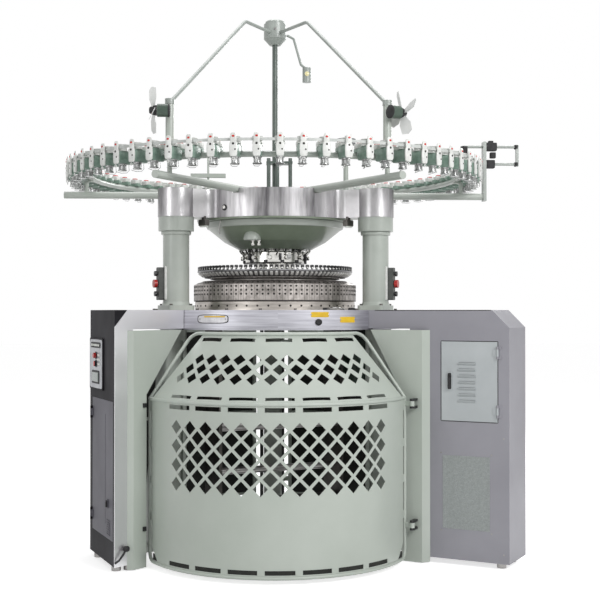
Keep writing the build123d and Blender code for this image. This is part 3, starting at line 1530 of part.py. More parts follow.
with BuildPart() as cabinet_left:
    add_plan(left_plan, cabinet_bottom, bed_top)
    add_band(left_band, cabinet_band_low, bed_top, band_clearance)
    add_plan(
        left_room,
        cabinet_bottom + cabinet_sheet,
        cabinet_band_low - cabinet_sheet,
        mode=Mode.SUBTRACT,
    )
    add_band(
        left_band_room,
        cabinet_band_low + cabinet_sheet,
        bed_top - cabinet_sheet,
        band_clearance + cabinet_sheet,
        mode=Mode.SUBTRACT,
    )
    side_centre = left_side(side_door_begin + side_door_width / 2, -1)
    with BuildSketch(facing(side_centre, left_outward, side_door_middle)) as hole:
        Rectangle(side_door_width + 2 * door_gap, side_door_high - side_door_low + 2 * door_gap)
    extrude(hole.sketch, amount=-cabinet_sheet - 2, mode=Mode.SUBTRACT)
    panel_centre = left_side(panel_begin + panel_width / 2)
    with BuildSketch(facing(panel_centre, left_outward, (panel_low + panel_high) / 2)) as panel:
        RectangleRounded(panel_width, panel_high - panel_low, 10)
    extrude(panel.sketch, amount=panel_thickness)
    stop_height, start_height = panel_button_heights
    start_spot = left_side(panel_button_along, -panel_thickness, start_height)
    add_bar(start_spot, start_spot + left_outward * button_height, panel_button_radius)
    stop_spot = left_side(panel_button_along, -panel_thickness, stop_height)
    add_bar(stop_spot, stop_spot - left_outward * 20, button_stem_radius + seat_gap, mode=Mode.SUBTRACT)
    for height in side_hinge_heights:
        add_cabinet_hinge(side_door_hinge, height, left_side_run, left_side_inward)
cabinet_left.part.label = "cabinet_left"
export_step(cabinet_left.part, "parts/cabinet_left.step")

with BuildPart() as panel_stop_button:
    button_foot = stop_spot + left_outward * (button_travel + seat_gap)
    add_bar(button_foot, button_foot + left_outward * button_height, panel_button_radius)
    add_bar(stop_spot - left_outward * 10, button_foot, button_stem_radius)
panel_stop_button.part.label = "panel_stop_button"
export_step(panel_stop_button.part, "parts/panel_stop_button.step")

# Side door of the left cabinet, with a finger recess and a small louvre
with BuildPart() as left_door:
    side_door_centre = left_side(side_door_begin + side_door_width / 2)
    with BuildSketch(facing(side_door_centre, left_outward, side_door_middle)) as sheet:
        Rectangle(side_door_width, side_door_high - side_door_low)
    extrude(sheet.sketch, amount=-door_sheet)
    with BuildSketch(facing(left_side(recess_along, -1), left_outward, side_door_middle)) as recess:
        SlotOverall(recess_length, recess_width, rotation=90)
    extrude(recess.sketch, amount=-2, mode=Mode.SUBTRACT)
    with BuildSketch(facing(left_side(latch_along), left_outward, latch_middle)) as latch:
        RectangleRounded(latch_width, latch_height, 4)
    extrude(latch.sketch, amount=latch_thickness)
    for height in side_hinge_heights:
        add_door_knuckle(side_door_hinge, height, left_side_run, left_side_inward)
left_door.part.label = "left_door"
export_step(left_door.part, "parts/left_door.step")

# Left face cover: the silver sheet in front of the control cabinet, reaching in to the bed
left_front = -left_inward
cover_inner = left_band_front + 22
with BuildPart() as left_face_cover:
    with BuildSketch(facing(left_face(0), left_front)) as sheet:
        with BuildLine():
            Polyline(
                (-left_face_begin, cabinet_bottom),
                (-left_face_end, cabinet_bottom),
                (-left_face_end, bed_top - face_cover_chamfer),
                (-left_face_end + face_cover_chamfer, bed_top),
                (-cover_inner, bed_top),
                (-cover_inner, cabinet_band_low),
                (-left_face_begin, cabinet_band_low),
                close=True,
            )
        make_face()
    extrude(sheet.sketch, amount=-face_cover_sheet)
left_face_cover.part.label = "left_face_cover"
export_step(left_face_cover.part, "parts/left_face_cover.step")


def add_cover(face, along, front, offset, nose, foot_along, width, reach):
    """A leg cover: a folded sheet that stands in front of a cabinet's face and reaches in to the gate."""
    sign = 1 if along.cross(front).Z < 0 else -1
    edge = (
        (nose - width, foot_clearance / 5),
        (nose - width, cover_slant_height),
        (nose - reach, cover_top),
    )
    with BuildSketch(facing(face(0, -offset), front)) as strip:
        with BuildLine():
            Polyline(
                (sign * nose, foot_clearance / 5),
                *[(sign * u, height) for u, height in edge],
                (sign * nose, cover_top),
                close=True,
            )
        make_face()
    extrude(strip.sketch, amount=-cover_sheet)
    with BuildSketch(facing(face(0, -offset), front)) as flange:
        with BuildLine():
            Polyline(
                *[(sign * u, height) for u, height in edge],
                *[(sign * (u + cover_sheet), height) for u, height in reversed(edge)],
                close=True,
            )
        make_face()
    extrude(flange.sketch, amount=-46)
    add_plan(
        [
            face(nose, -offset),
            face(foot_along, -seat_gap),
            face(foot_along - cover_sheet - 1, -seat_gap),
            face(nose - cover_sheet - 1, -offset + cover_sheet),
            face(nose - cover_sheet - 1, -offset),
        ],
        foot_clearance / 5,
        cover_top,
    )


# Leg covers: folded sheets on both sides of the gate
with BuildPart() as leg_covers:
    add_cover(
        right_face,
        right_along,
        right_outward,
        right_cover_offset,
        right_cover_nose,
        right_cover_foot,
        right_cover_width,
        right_cover_reach,
    )
    add_cover(
        left_face,
        left_along,
        left_front,
        left_cover_offset,
        left_cover_nose,
        left_cover_foot,
        left_cover_width,
        left_cover_reach,
    )
leg_covers.part.label = "leg_covers"
export_step(leg_covers.part, "parts/leg_covers.step")


def add_sweep(points, start_run, end_run, radius):
    """A round rod bent smoothly between two points, leaving and arriving along given directions."""
    with BuildLine() as path:
        Spline(*points, tangents=(start_run, end_run))
    with BuildSketch(Plane(origin=points[0], z_dir=start_run)) as section:
        Circle(radius)
    sweep(section.sketch, path=path.line)


def add_arc_rod(centre_y, arc_radius, height, end_x, radius):
    """A level round rod along an arc, from one side of the gate to the other."""
    span = 2 * degrees(asin(end_x / arc_radius))
    begin = Vector(-end_x, centre_y - sqrt(arc_radius ** 2 - end_x ** 2), height)
    run = Vector(-(begin.Y - centre_y), begin.X, 0)
    with BuildSketch(Plane(origin=begin, x_dir=(0, 0, 1), z_dir=run)) as section:
        Circle(radius)
    revolve(section.sketch, axis=Axis((0, centre_y, 0), (0, 0, 1)), revolution_arc=span)


def arc_point(centre_y, arc_radius, x, height):
    """A point on the front of a level arc, from its sideways position."""
    return Vector(x, centre_y - sqrt(arc_radius ** 2 - x ** 2), height)


# Gate frame: bent rods with two hinge lugs on the right
low_corner = arc_point(gate_centre_y, gate_radius, gate_end, gate_bottom + gate_corner)
middle_end = arc_point(gate_centre_y, gate_radius, gate_end, gate_middle)
top_corner = arc_point(gate_top_centre_y, gate_top_radius, gate_top_end, gate_top)
slant = (top_corner - middle_end).normalized()
slant_end = top_corner - slant * gate_corner
hinge_spot = Vector(hinge_axis_x, hinge_axis_y, 0)
with BuildPart() as gate_frame:
    add_arc_rod(gate_centre_y, gate_radius, gate_bottom, gate_arc_end, gate_rod_radius)
    add_arc_rod(gate_centre_y, gate_radius, gate_middle, gate_end, gate_rod_radius)
    add_arc_rod(gate_top_centre_y, gate_top_radius, gate_top, gate_top_arc_end, gate_rod_radius)
    for side in (-1, 1):
        low_start = arc_point(gate_centre_y, gate_radius, side * gate_arc_end, gate_bottom)
        low_end = Vector(side * low_corner.X, low_corner.Y, low_corner.Z)
        low_run = Vector(-(low_start.Y - gate_centre_y), low_start.X, 0) * side
        add_sweep((low_start, low_end), low_run, Vector(0, 0, 1), gate_rod_radius)
        side_top = Vector(side * middle_end.X, middle_end.Y, middle_end.Z)
        add_bar(low_end, side_top, gate_rod_radius)
        side_slant = Vector(side * slant.X, slant.Y, slant.Z)
        side_slant_end = Vector(side * slant_end.X, slant_end.Y, slant_end.Z)
        add_bar(side_top, side_slant_end, gate_rod_radius)
        with Locations(side_top):
            Sphere(gate_rod_radius)
        top_start = arc_point(gate_top_centre_y, gate_top_radius, side * gate_top_arc_end, gate_top)
        top_run = Vector(-(top_start.Y - gate_top_centre_y), top_start.X, 0) * side
        add_sweep((top_start, side_slant_end), top_run, side_slant * -1, gate_rod_radius)
    lug_run = Vector(middle_end.X - hinge_axis_x, middle_end.Y - hinge_axis_y, 0)
    for height in hinge_heights:
        lug_foot = hinge_spot + Vector(0, 0, height)
        add_bar(lug_foot, lug_foot + Vector(0, 0, hinge_lug_height), hinge_pin_radius + 6)
        lug_plane = Plane(origin=lug_foot + lug_run / 2, x_dir=lug_run, z_dir=(0, 0, 1))
        add_block(lug_plane, lug_run.length, 12, hinge_lug_height)
        add_bar(
            lug_foot,
            lug_foot + Vector(0, 0, hinge_lug_height),
            hinge_pin_radius + running_gap,
            mode=Mode.SUBTRACT,
        )
gate_frame.part.label = "gate_frame"
export_step(gate_frame.part, "parts/gate_frame.step")


def gate_plane(turn, height):
    """A plane that touches the lower panel at an angle round its own centre, facing outward."""
    away = outward(turn)
    origin = Vector(0, gate_centre_y, height) + away * gate_radius
    return Plane(origin=origin, x_dir=sideways(turn), z_dir=away)


# Lower gate panel: a curved sheet with a field of diamond windows and slots along its edges
rod_clearance = gate_rod_radius + seat_gap
gate_half_turn = degrees(asin(gate_end / gate_radius))
side_margin = degrees(rod_clearance / gate_radius)
panel_bottom = gate_bottom + rod_clearance
panel_top = gate_middle - rod_clearance
slot_inset = slot_margin + slot_width / 2
with BuildPart() as lower_cuts:
    for row in range(window_rows):
        count = 13 if row % 2 == 0 else 12
        height = window_middle + diamond_row_pitch * (row - (window_rows - 1) / 2)
        for number in range(count):
            turn = diamond_pitch_angle * (number - (count - 1) / 2)
            with BuildSketch(gate_plane(turn, height).offset(-12)) as window:
                Rectangle(diamond_side, diamond_side, rotation=45)
            extrude(window.sketch, amount=24)
    for number in range(edge_slots):
        turn = edge_slot_turn * (number - (edge_slots - 1) / 2)
        for height in (panel_bottom + slot_inset, panel_top - slot_inset):
            with BuildSketch(gate_plane(turn, height).offset(-14)) as slot:
                Rectangle(slot_length, slot_width)
            extrude(slot.sketch, amount=24)
    for number in range(side_slots):
        height = (panel_bottom + panel_top) / 2 + side_slot_pitch * (number - (side_slots - 1) / 2)
        for side in (-1, 1):
            turn = side * (gate_half_turn - degrees((rod_clearance + slot_inset) / gate_radius))
            with BuildSketch(gate_plane(turn, height).offset(-14)) as slot:
                Rectangle(slot_width, slot_length)
            extrude(slot.sketch, amount=24)
    for side in (-1, 1):
        with BuildSketch(gate_plane(side * gate_half_turn, panel_bottom).offset(-40)) as corner_cut:
            Rectangle(160, 160, rotation=45)
        extrude(corner_cut.sketch, amount=60)
with BuildPart() as gate_lower_panel:
    sheet_turn = gate_half_turn - side_margin
    sheet_plane = Plane(
        origin=Vector(0, gate_centre_y, 0) + outward(-sheet_turn) * gate_radius,
        x_dir=outward(-sheet_turn),
        z_dir=-sideways(-sheet_turn),
    )
    with BuildSketch(sheet_plane) as sheet:
        with Locations((0, (panel_bottom + panel_top) / 2)):
            Rectangle(gate_sheet, panel_top - panel_bottom)
    gate_axis = Axis((0, gate_centre_y, 0), (0, 0, 1))
    revolve(sheet.sketch, axis=gate_axis, revolution_arc=2 * sheet_turn)
    add(lower_cuts.part, mode=Mode.SUBTRACT)
gate_lower_panel.part.label = "gate_lower_panel"
export_step(gate_lower_panel.part, "parts/gate_lower_panel.step")


def band_section(centre_y, arc_radius, end_x, height):
    """A thin curved strip at a height: the upper panel's edge."""
    with BuildSketch(Plane.XY.offset(height)) as section:
        with BuildLine():
            ends = []
            for radius in (arc_radius - gate_sheet / 2, arc_radius + gate_sheet / 2):
                left = arc_point(centre_y, radius, -end_x, 0)
                right = arc_point(centre_y, radius, end_x, 0)
                ThreePointArc((left.X, left.Y), (0, centre_y - radius), (right.X, right.Y))
                ends.append((left, right))
            Line((ends[0][0].X, ends[0][0].Y), (ends[1][0].X, ends[1][0].Y))
            Line((ends[0][1].X, ends[0][1].Y), (ends[1][1].X, ends[1][1].Y))
        make_face()
    return section.sketch


def upper_plane(across_share, up_share):
    """A plane that touches the upper panel, from shares of its half width and of its height."""
    low_turn = radians(gate_half_turn * across_share)
    top_turn = asin(gate_top_end / gate_top_radius) * across_share
    low = arc_point(gate_centre_y, gate_radius, gate_radius * sin(low_turn), gate_middle)
    top = arc_point(gate_top_centre_y, gate_top_radius, gate_top_radius * sin(top_turn), gate_top)
    low_run = Vector(cos(low_turn), sin(low_turn), 0) * gate_radius
    top_run = Vector(cos(top_turn), sin(top_turn), 0) * gate_top_radius
    run = low_run * (1 - up_share) + top_run * up_share
    return Plane(origin=low + (top - low) * up_share, x_dir=run, z_dir=run.cross(top - low))


# Upper gate panel: a sheet that leans in from the middle rod to the top rod
with BuildPart() as upper_cuts:
    for count, up_share, pitch in upper_rows:
        for number in range(count):
            window_plane = upper_plane(pitch * (number - (count - 1) / 2), up_share)
            with BuildSketch(window_plane.offset(-14)) as window:
                Rectangle(upper_window, upper_window, rotation=45)
            extrude(window.sketch, amount=28)
    for number in range(edge_slots):
        across_share = (number - (edge_slots - 1) / 2) * edge_slot_turn / gate_half_turn
        slot_plane = upper_plane(across_share, 0.07)
        with BuildSketch(slot_plane.offset(-16)) as slot:
            Rectangle(slot_length * 0.96, slot_width * 0.8)
        extrude(slot.sketch, amount=32)
    for number in range(edge_slots - 2):
        across_share = (number - (edge_slots - 3) / 2) * 0.33
        slot_plane = upper_plane(across_share, 0.92)
        with BuildSketch(slot_plane.offset(-16)) as slot:
            Rectangle(slot_length * 0.9, slot_width)
        extrude(slot.sketch, amount=32)
with BuildPart() as gate_upper_panel:
    low_edge = gate_middle + rod_clearance
    top_edge = gate_top - rod_clearance
    share = rod_clearance / (gate_top - gate_middle)
    low_end = middle_end + (top_corner - middle_end) * share
    loft(
        [
            band_section(gate_centre_y, gate_radius, low_end.X - upper_side_gap, low_edge),
            band_section(gate_top_centre_y, gate_top_radius, gate_top_arc_end - upper_side_gap, top_edge),
        ],
        ruled=True,
    )
    add(upper_cuts.part, mode=Mode.SUBTRACT)
gate_upper_panel.part.label = "gate_upper_panel"
export_step(gate_upper_panel.part, "parts/gate_upper_panel.step")

# Gate hinges: pins on brackets, the catches on the left, and the posts of the rear gates
with BuildPart() as gate_hinges:
    for height in hinge_heights:
        pin_foot = hinge_spot + Vector(0, 0, height - bracket_thickness)
        pin_height = hinge_lug_height + 2 * bracket_thickness
        add_bar(pin_foot, pin_foot + Vector(0, 0, pin_height), hinge_pin_radius)
        for low in (height - bracket_thickness, height + hinge_lug_height + seat_gap):
            bracket_low = hinge_spot + Vector(0, 0, low)
            pin_depth = hinge_spot.dot(right_inward) + right_face_distance
            depth = -(pin_depth + right_cover_offset + seat_gap)
            bracket_plane = Plane(
                origin=bracket_low + right_inward * depth / 2,
                x_dir=right_inward,
                z_dir=(0, 0, 1),
            )
            bracket_height = bracket_thickness - seat_gap
            bracket_top = bracket_low + Vector(0, 0, bracket_height)
            add_bar(bracket_low, bracket_top, bracket_width / 2 + 1)
            add_block(bracket_plane, depth, bracket_width, bracket_height)
        catch_plane = Plane(
            origin=left_face(catch_along, -left_cover_offset - seat_gap - catch_depth / 2, height),
            x_dir=left_along,
            z_dir=(0, 0, 1),
        )
        add_block(catch_plane, catch_length, catch_depth, catch_height)
    for side in (-1, 1):
        post_foot = Vector(side * rear_post_aside, rear_post_out, foot_plate_top)
        add_bar(post_foot, post_foot + Vector(0, 0, rear_gate_high - foot_plate_top), rear_post_radius)
    leg_share = (yoke_height - foot_plate_top) / (bed_bottom - foot_plate_top)
    leg_depth = leg_foot_depth - (leg_foot_depth - leg_top_depth) * leg_share
    yoke_inner = leg_inner_radius + leg_depth + seat_gap
    with BuildSketch(Plane.XY.offset(yoke_height)) as yoke:
        with Locations((0, (yoke_inner + rear_post_out) / 2)):
            Rectangle(2 * rear_post_aside, rear_post_out - yoke_inner)
    extrude(yoke.sketch, amount=yoke_thickness)
gate_hinges.part.label = "gate_hinges"
export_step(gate_hinges.part, "parts/gate_hinges.step")

# Rear gates: each is a curved sheet with ribs between two upright bars, and lugs round its post
with BuildPart() as rear_gate_right:
    rear_radius = Vector(rear_post_aside, rear_post_out, 0).length
    rear_middle = (rear_gate_low + rear_gate_high) / 2
    with BuildSketch(radial_plane(rear_gate_begin)) as section:
        with Locations((rear_radius, rear_middle)):
            Rectangle(rear_gate_sheet, rear_gate_high - rear_gate_low)
        for height in (rear_gate_low, rear_middle, rear_gate_high):
            with Locations((rear_radius, height)):
                Rectangle(rear_rim_depth, rear_rim_height)
    revolve(section.sketch, axis=Axis.Z, revolution_arc=rear_gate_end - rear_gate_begin)
    for angle in (rear_gate_begin, rear_gate_end):
        stile_foot = spot(angle, rear_radius, rear_gate_low - rear_gate_stile)
        stile_top = spot(angle, rear_radius, rear_gate_high + rear_gate_stile)
        add_bar(stile_foot, stile_top, rear_gate_stile)
    stile = spot(rear_gate_end, rear_radius)
    post = Vector(rear_post_aside, rear_post_out, 0)
    reach = stile - post
    for height in rear_lug_heights:
        lug_foot = post + Vector(0, 0, height)
        lug_top = lug_foot + Vector(0, 0, rear_lug_height)
        add_bar(lug_foot, lug_top, rear_post_radius + rear_lug_wall)
        lug_plane = Plane(origin=lug_foot + reach / 2, x_dir=reach, z_dir=(0, 0, 1))
        add_block(lug_plane, reach.length, 2 * rear_lug_wall, rear_lug_height)
        add_bar(lug_foot, lug_top, rear_post_radius + running_gap, mode=Mode.SUBTRACT)
rear_gate_right.part.label = "rear_gate_right"
export_step(rear_gate_right.part, "parts/rear_gate_right.step")

with BuildPart() as rear_gate_left:
    add(mirror(rear_gate_right.part, about=Plane.YZ, mode=Mode.PRIVATE))
rear_gate_left.part.label = "rear_gate_left"
export_step(rear_gate_left.part, "parts/rear_gate_left.step")
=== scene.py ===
import bmesh
import bpy
import numpy as np
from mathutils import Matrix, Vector


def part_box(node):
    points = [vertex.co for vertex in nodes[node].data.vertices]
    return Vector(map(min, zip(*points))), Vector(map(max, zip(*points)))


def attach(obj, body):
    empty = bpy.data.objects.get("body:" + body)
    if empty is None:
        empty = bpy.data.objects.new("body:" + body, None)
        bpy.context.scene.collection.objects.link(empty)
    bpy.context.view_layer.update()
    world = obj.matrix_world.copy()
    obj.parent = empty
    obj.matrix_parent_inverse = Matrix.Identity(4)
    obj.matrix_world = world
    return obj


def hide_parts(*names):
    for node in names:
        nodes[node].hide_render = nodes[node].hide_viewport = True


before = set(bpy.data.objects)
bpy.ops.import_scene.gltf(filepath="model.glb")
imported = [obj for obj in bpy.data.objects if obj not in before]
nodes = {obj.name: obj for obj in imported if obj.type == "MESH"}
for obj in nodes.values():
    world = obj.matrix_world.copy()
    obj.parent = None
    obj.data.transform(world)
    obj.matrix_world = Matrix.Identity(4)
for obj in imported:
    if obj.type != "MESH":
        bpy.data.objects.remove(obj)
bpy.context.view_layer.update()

# Circular double-jersey knitting machine, in metres. The axis of the needle cylinder is the Z axis
# and the floor is z 0. Angles round the machine count from the front (-Y) towards the right (+X).


# Studio: a pale floor, soft lamps and a white surround, with the camera where the photographer
# stood, 6.65 m in front of the machine at chest height.
camera_data = bpy.data.cameras.new("camera")
camera_data.lens = 69.0
camera_data.sensor_width = 36.0
camera = bpy.data.objects.new("camera", camera_data)
bpy.context.scene.collection.objects.link(camera)
camera_place = Vector((-0.139, -6.648, 1.30))
camera_target = Vector((0.1446, -0.003, 1.369))
camera.location = camera_place
camera.rotation_euler = (camera_target - camera_place).to_track_quat("-Z", "Y").to_euler()
bpy.context.scene.camera = camera
bpy.context.scene.view_settings.view_transform = "Standard"


def soft_lamp(name, place, target, width, height, watts):
    """A rectangular soft box at a place, turned towards a target."""
    data = bpy.data.lights.new(name, "AREA")
    data.shape = "RECTANGLE"
    data.size = width
    data.size_y = height
    data.energy = watts
    lamp = bpy.data.objects.new(name, data)
    lamp.location = place
    lamp.rotation_euler = (Vector(target) - Vector(place)).to_track_quat("-Z", "Y").to_euler()
    bpy.context.scene.collection.objects.link(lamp)


soft_lamp("key_lamp", (3.4, -5.2, 4.0), (0, 0, 1.2), width=2.6, height=2.0, watts=200)
soft_lamp("fill_lamp", (-4.2, -4.2, 2.8), (0, 0, 1.1), width=2.0, height=2.4, watts=45)
soft_lamp("top_lamp", (0.0, 0.4, 6.0), (0, 0, 0), width=3.5, height=3.5, watts=110)
soft_lamp("rear_lamp", (2.5, 5.0, 3.8), (0, 0, 1.2), width=2.4, height=2.0, watts=110)


def white_to_the_eye(tree):
    """1 for the rays that look at a background, straight, in a reflection or through glass."""
    rays = tree.nodes.new("ShaderNodeLightPath")
    seen = tree.nodes.new("ShaderNodeMath")
    seen.operation = "MAXIMUM"
    tree.links.new(rays.outputs["Is Camera Ray"], seen.inputs[0])
    tree.links.new(rays.outputs["Is Glossy Ray"], seen.inputs[1])
    both = tree.nodes.new("ShaderNodeMath")
    both.operation = "MAXIMUM"
    tree.links.new(seen.outputs[0], both.inputs[0])
    tree.links.new(rays.outputs["Is Transmission Ray"], both.inputs[1])
    return both.outputs[0]


surround = bpy.data.worlds.new("surround")
surround.use_nodes = True
bpy.context.scene.world = surround
sky = surround.node_tree.nodes["Background"]
sky.inputs["Color"].default_value = (1, 1, 1, 1)
sky_strength = surround.node_tree.nodes.new("ShaderNodeMapRange")
sky_strength.inputs["To Min"].default_value = 0.38
sky_strength.inputs["To Max"].default_value = 1.0
surround.node_tree.links.new(white_to_the_eye(surround.node_tree), sky_strength.inputs["Value"])
surround.node_tree.links.new(sky_strength.outputs["Result"], sky.inputs["Strength"])

floor_finish = bpy.data.materials.new("floor_finish")
floor_finish.use_nodes = True
floor_shader = floor_finish.node_tree.nodes["Principled BSDF"]
floor_shader.inputs["Base Color"].default_value = (0.80, 0.80, 0.80, 1)
floor_shader.inputs["Roughness"].default_value = 0.9
floor_shader.inputs["Specular IOR Level"].default_value = 0.1
floor_shader.inputs["Emission Color"].default_value = (1, 1, 1, 1)
floor_glow = floor_finish.node_tree.nodes.new("ShaderNodeMapRange")
floor_glow.inputs["To Min"].default_value = 0.0
floor_glow.inputs["To Max"].default_value = 0.66
floor_finish.node_tree.links.new(white_to_the_eye(floor_finish.node_tree), floor_glow.inputs["Value"])
floor_finish.node_tree.links.new(floor_glow.outputs["Result"], floor_shader.inputs["Emission Strength"])
floor_mesh = bpy.data.meshes.new("floor")
floor_half = 40.0
floor_corners = [(-1, -1, 0), (1, -1, 0), (1, 1, 0), (-1, 1, 0)]
floor_mesh.from_pydata(
    [(floor_half * x, floor_half * y, z) for x, y, z in floor_corners],
    [],
    [(0, 1, 2, 3)],
)
floor_mesh.materials.append(floor_finish)
floor = bpy.data.objects.new("floor", floor_mesh)
bpy.context.scene.collection.objects.link(floor)


# Legs, base frame, columns and top casting: grey iron castings, filled, and sprayed with a pale
# grey-green enamel.
def tint(red, green, blue):
    """A colour as the eye sees it, 0 to 255 each, turned into the linear values a shader takes."""
    seen = np.array((red, green, blue)) / 255
    linear = np.where(seen <= 0.04045, seen / 12.92, ((seen + 0.055) / 1.055) ** 2.4)
    return (*linear.tolist(), 1.0)


def finish(
    name, light, dark, roughness, metallic=0.0, mottle=4.0, grain=(1, 1, 1), tooth=0.0,
    tooth_scale=300.0, rough_spread=0.08, coat=0.0, round_axis=False, gleam=0.5,
):
    """A painted, machined or moulded finish in Object coordinates. Cloudy noise moves the colour
    between two tones and the roughness about its middle; a finer noise, stretched by grain, gives
    the surface its tooth. With round_axis the pattern follows the angle round the machine's axis.
    Gleam is how strongly an unpolished surface mirrors, 0.5 for a plain varnish."""
    made = bpy.data.materials.new(name)
    made.use_nodes = True
    tree = made.node_tree
    shader = tree.nodes["Principled BSDF"]
    shader.inputs["Metallic"].default_value = metallic
    shader.inputs["Specular IOR Level"].default_value = gleam
    shader.inputs["Coat Weight"].default_value = coat
    shader.inputs["Coat Roughness"].default_value = 0.15
    place = tree.nodes.new("ShaderNodeTexCoord").outputs["Object"]
    if round_axis:
        parts = tree.nodes.new("ShaderNodeSeparateXYZ")
        tree.links.new(place, parts.inputs[0])
        turn = tree.nodes.new("ShaderNodeMath")
        turn.operation = "ARCTAN2"
        tree.links.new(parts.outputs["X"], turn.inputs[0])
        tree.links.new(parts.outputs["Y"], turn.inputs[1])
        unrolled = tree.nodes.new("ShaderNodeCombineXYZ")
        tree.links.new(turn.outputs[0], unrolled.inputs["X"])
        tree.links.new(parts.outputs["Z"], unrolled.inputs["Z"])
        place = unrolled.outputs[0]
    stretch = tree.nodes.new("ShaderNodeMapping")
    stretch.inputs["Scale"].default_value = grain
    tree.links.new(place, stretch.inputs["Vector"])
    clouds = tree.nodes.new("ShaderNodeTexNoise")
    clouds.inputs["Scale"].default_value = mottle
    clouds.inputs["Detail"].default_value = 5.0
    clouds.inputs["Roughness"].default_value = 0.6
    tree.links.new(stretch.outputs[0], clouds.inputs["Vector"])
    tones = tree.nodes.new("ShaderNodeValToRGB")
    tones.color_ramp.elements[0].position = 0.32
    tones.color_ramp.elements[0].color = tint(*dark)
    tones.color_ramp.elements[1].position = 0.68
    tones.color_ramp.elements[1].color = tint(*light)
    tree.links.new(clouds.outputs["Fac"], tones.inputs["Fac"])
    tree.links.new(tones.outputs["Color"], shader.inputs["Base Color"])
    dulling = tree.nodes.new("ShaderNodeMapRange")
    dulling.inputs["To Min"].default_value = roughness + rough_spread
    dulling.inputs["To Max"].default_value = roughness - rough_spread
    tree.links.new(clouds.outputs["Fac"], dulling.inputs["Value"])
    tree.links.new(dulling.outputs["Result"], shader.inputs["Roughness"])
    if tooth:
        fine = tree.nodes.new("ShaderNodeTexNoise")
        fine.inputs["Scale"].default_value = tooth_scale
        fine.inputs["Detail"].default_value = 2.0
        tree.links.new(stretch.outputs[0], fine.inputs["Vector"])
        bump = tree.nodes.new("ShaderNodeBump")
        bump.inputs["Strength"].default_value = 0.6
        bump.inputs["Distance"].default_value = tooth
        tree.links.new(fine.outputs["Fac"], bump.inputs["Height"])
        tree.links.new(bump.outputs["Normal"], shader.inputs["Normal"])
    return made


def dress(material, *names):
    """Gives CAD nodes a finish."""
    for name in names:
        nodes[name].data.materials.clear()
        nodes[name].data.materials.append(material)


casting_enamel = finish(
    "casting_enamel", (190, 196, 189), (168, 175, 167), 0.38, mottle=2.2, tooth=0.0006,
    tooth_scale=90, coat=0.25,
)
dress(casting_enamel, "base_frame", "legs", "columns", "top_plate", "ring_supports", "quality_stands")
turned_steel = finish(
    "turned_steel", (176, 174, 172), (128, 126, 125), 0.30, metallic=1.0, mottle=9, grain=(1, 1, 6),
    tooth=0.00008,
)
dress(
    turned_steel, "levelling_feet", "draw_roller_front", "draw_roller_middle", "draw_roller_rear",
    "fabric_shaft", "drive_shaft", "motor_pulley",
)


# Drive and take-down: gear wheels and side plates of dark cast iron, left as machined, a motor
# sprayed dark green, and a moulded rubber belt.
gear_iron = finish(
    "gear_iron", (112, 108, 104), (78, 76, 74), 0.45, metallic=0.85, mottle=7, tooth=0.0004, tooth_scale=140
)
dress(gear_iron, "main_gear", "takedown_frame")
motor_enamel = finish(
    "motor_enamel", (74, 92, 80), (52, 68, 58), 0.4, mottle=6, tooth=0.0004, tooth_scale=160
)
dress(motor_enamel, "main_motor", "fan_motors")
belt_rubber = finish(
    "belt_rubber", (44, 43, 42), (30, 29, 29), 0.75, mottle=20, tooth=0.0003, tooth_scale=500
)
dress(belt_rubber, "drive_belt")


# Bed: the machined plate that carries the cylinder, with a brushed stainless band bent round it. A
# dark rubber strip closes each of the band's two joints.
bed_steel = finish(
    "bed_steel", (196, 190, 184), (142, 138, 133), 0.32, metallic=1.0, mottle=5, grain=(1, 1, 8),
    tooth=0.0001,
)
dress(bed_steel, "bed_plate", "cam_ring_base")
bed_band = finish(
    "bed_band", (204, 204, 211), (166, 165, 173), 0.34, metallic=0.9, mottle=2.2,
    grain=(1.2, 1, 40), tooth=0.00005, tooth_scale=60, round_axis=True,
)
dress(bed_band, "bed_trim")


def places_round(angles, radius, height):
    """Places round the machine's axis, one for each angle in degrees: an origin, and three
    directions of its own, which are out from the axis, along the circle, and up."""
    turn = np.radians(np.atleast_1d(np.asarray(angles, float)))
    zero = np.zeros_like(turn)
    out = np.stack((np.sin(turn), -np.cos(turn), zero), -1)
    along = np.stack((np.cos(turn), np.sin(turn), zero), -1)
    up = np.stack((zero, zero, zero + 1), -1)
    radius = np.broadcast_to(np.asarray(radius, float), turn.shape)[:, None]
    height = np.broadcast_to(np.asarray(height, float), turn.shape)[:, None]
    return out * radius + up * height, np.stack((out, along, up), 1)


def carried(shape, places):
    """Copies of a shape, one at each place: a point is moved along the place's three directions
    by its three measures, and the place's origin is added."""
    origins, directions = places
    return origins[:, None, None] + np.einsum("rck,nkj->nrcj", shape, directions)


def turned(profile, columns=24):
    """A shape turned about its own third direction: each profile point, given as radius and
    height, goes round a circle of that radius."""
    profile = np.asarray(profile, float)
    turn = np.linspace(0, 2 * np.pi, columns, endpoint=False)
    height = np.broadcast_to(profile[:, 1, None], (len(profile), columns))
    return np.stack((profile[:, :1] * np.cos(turn), profile[:, :1] * np.sin(turn), height), -1)


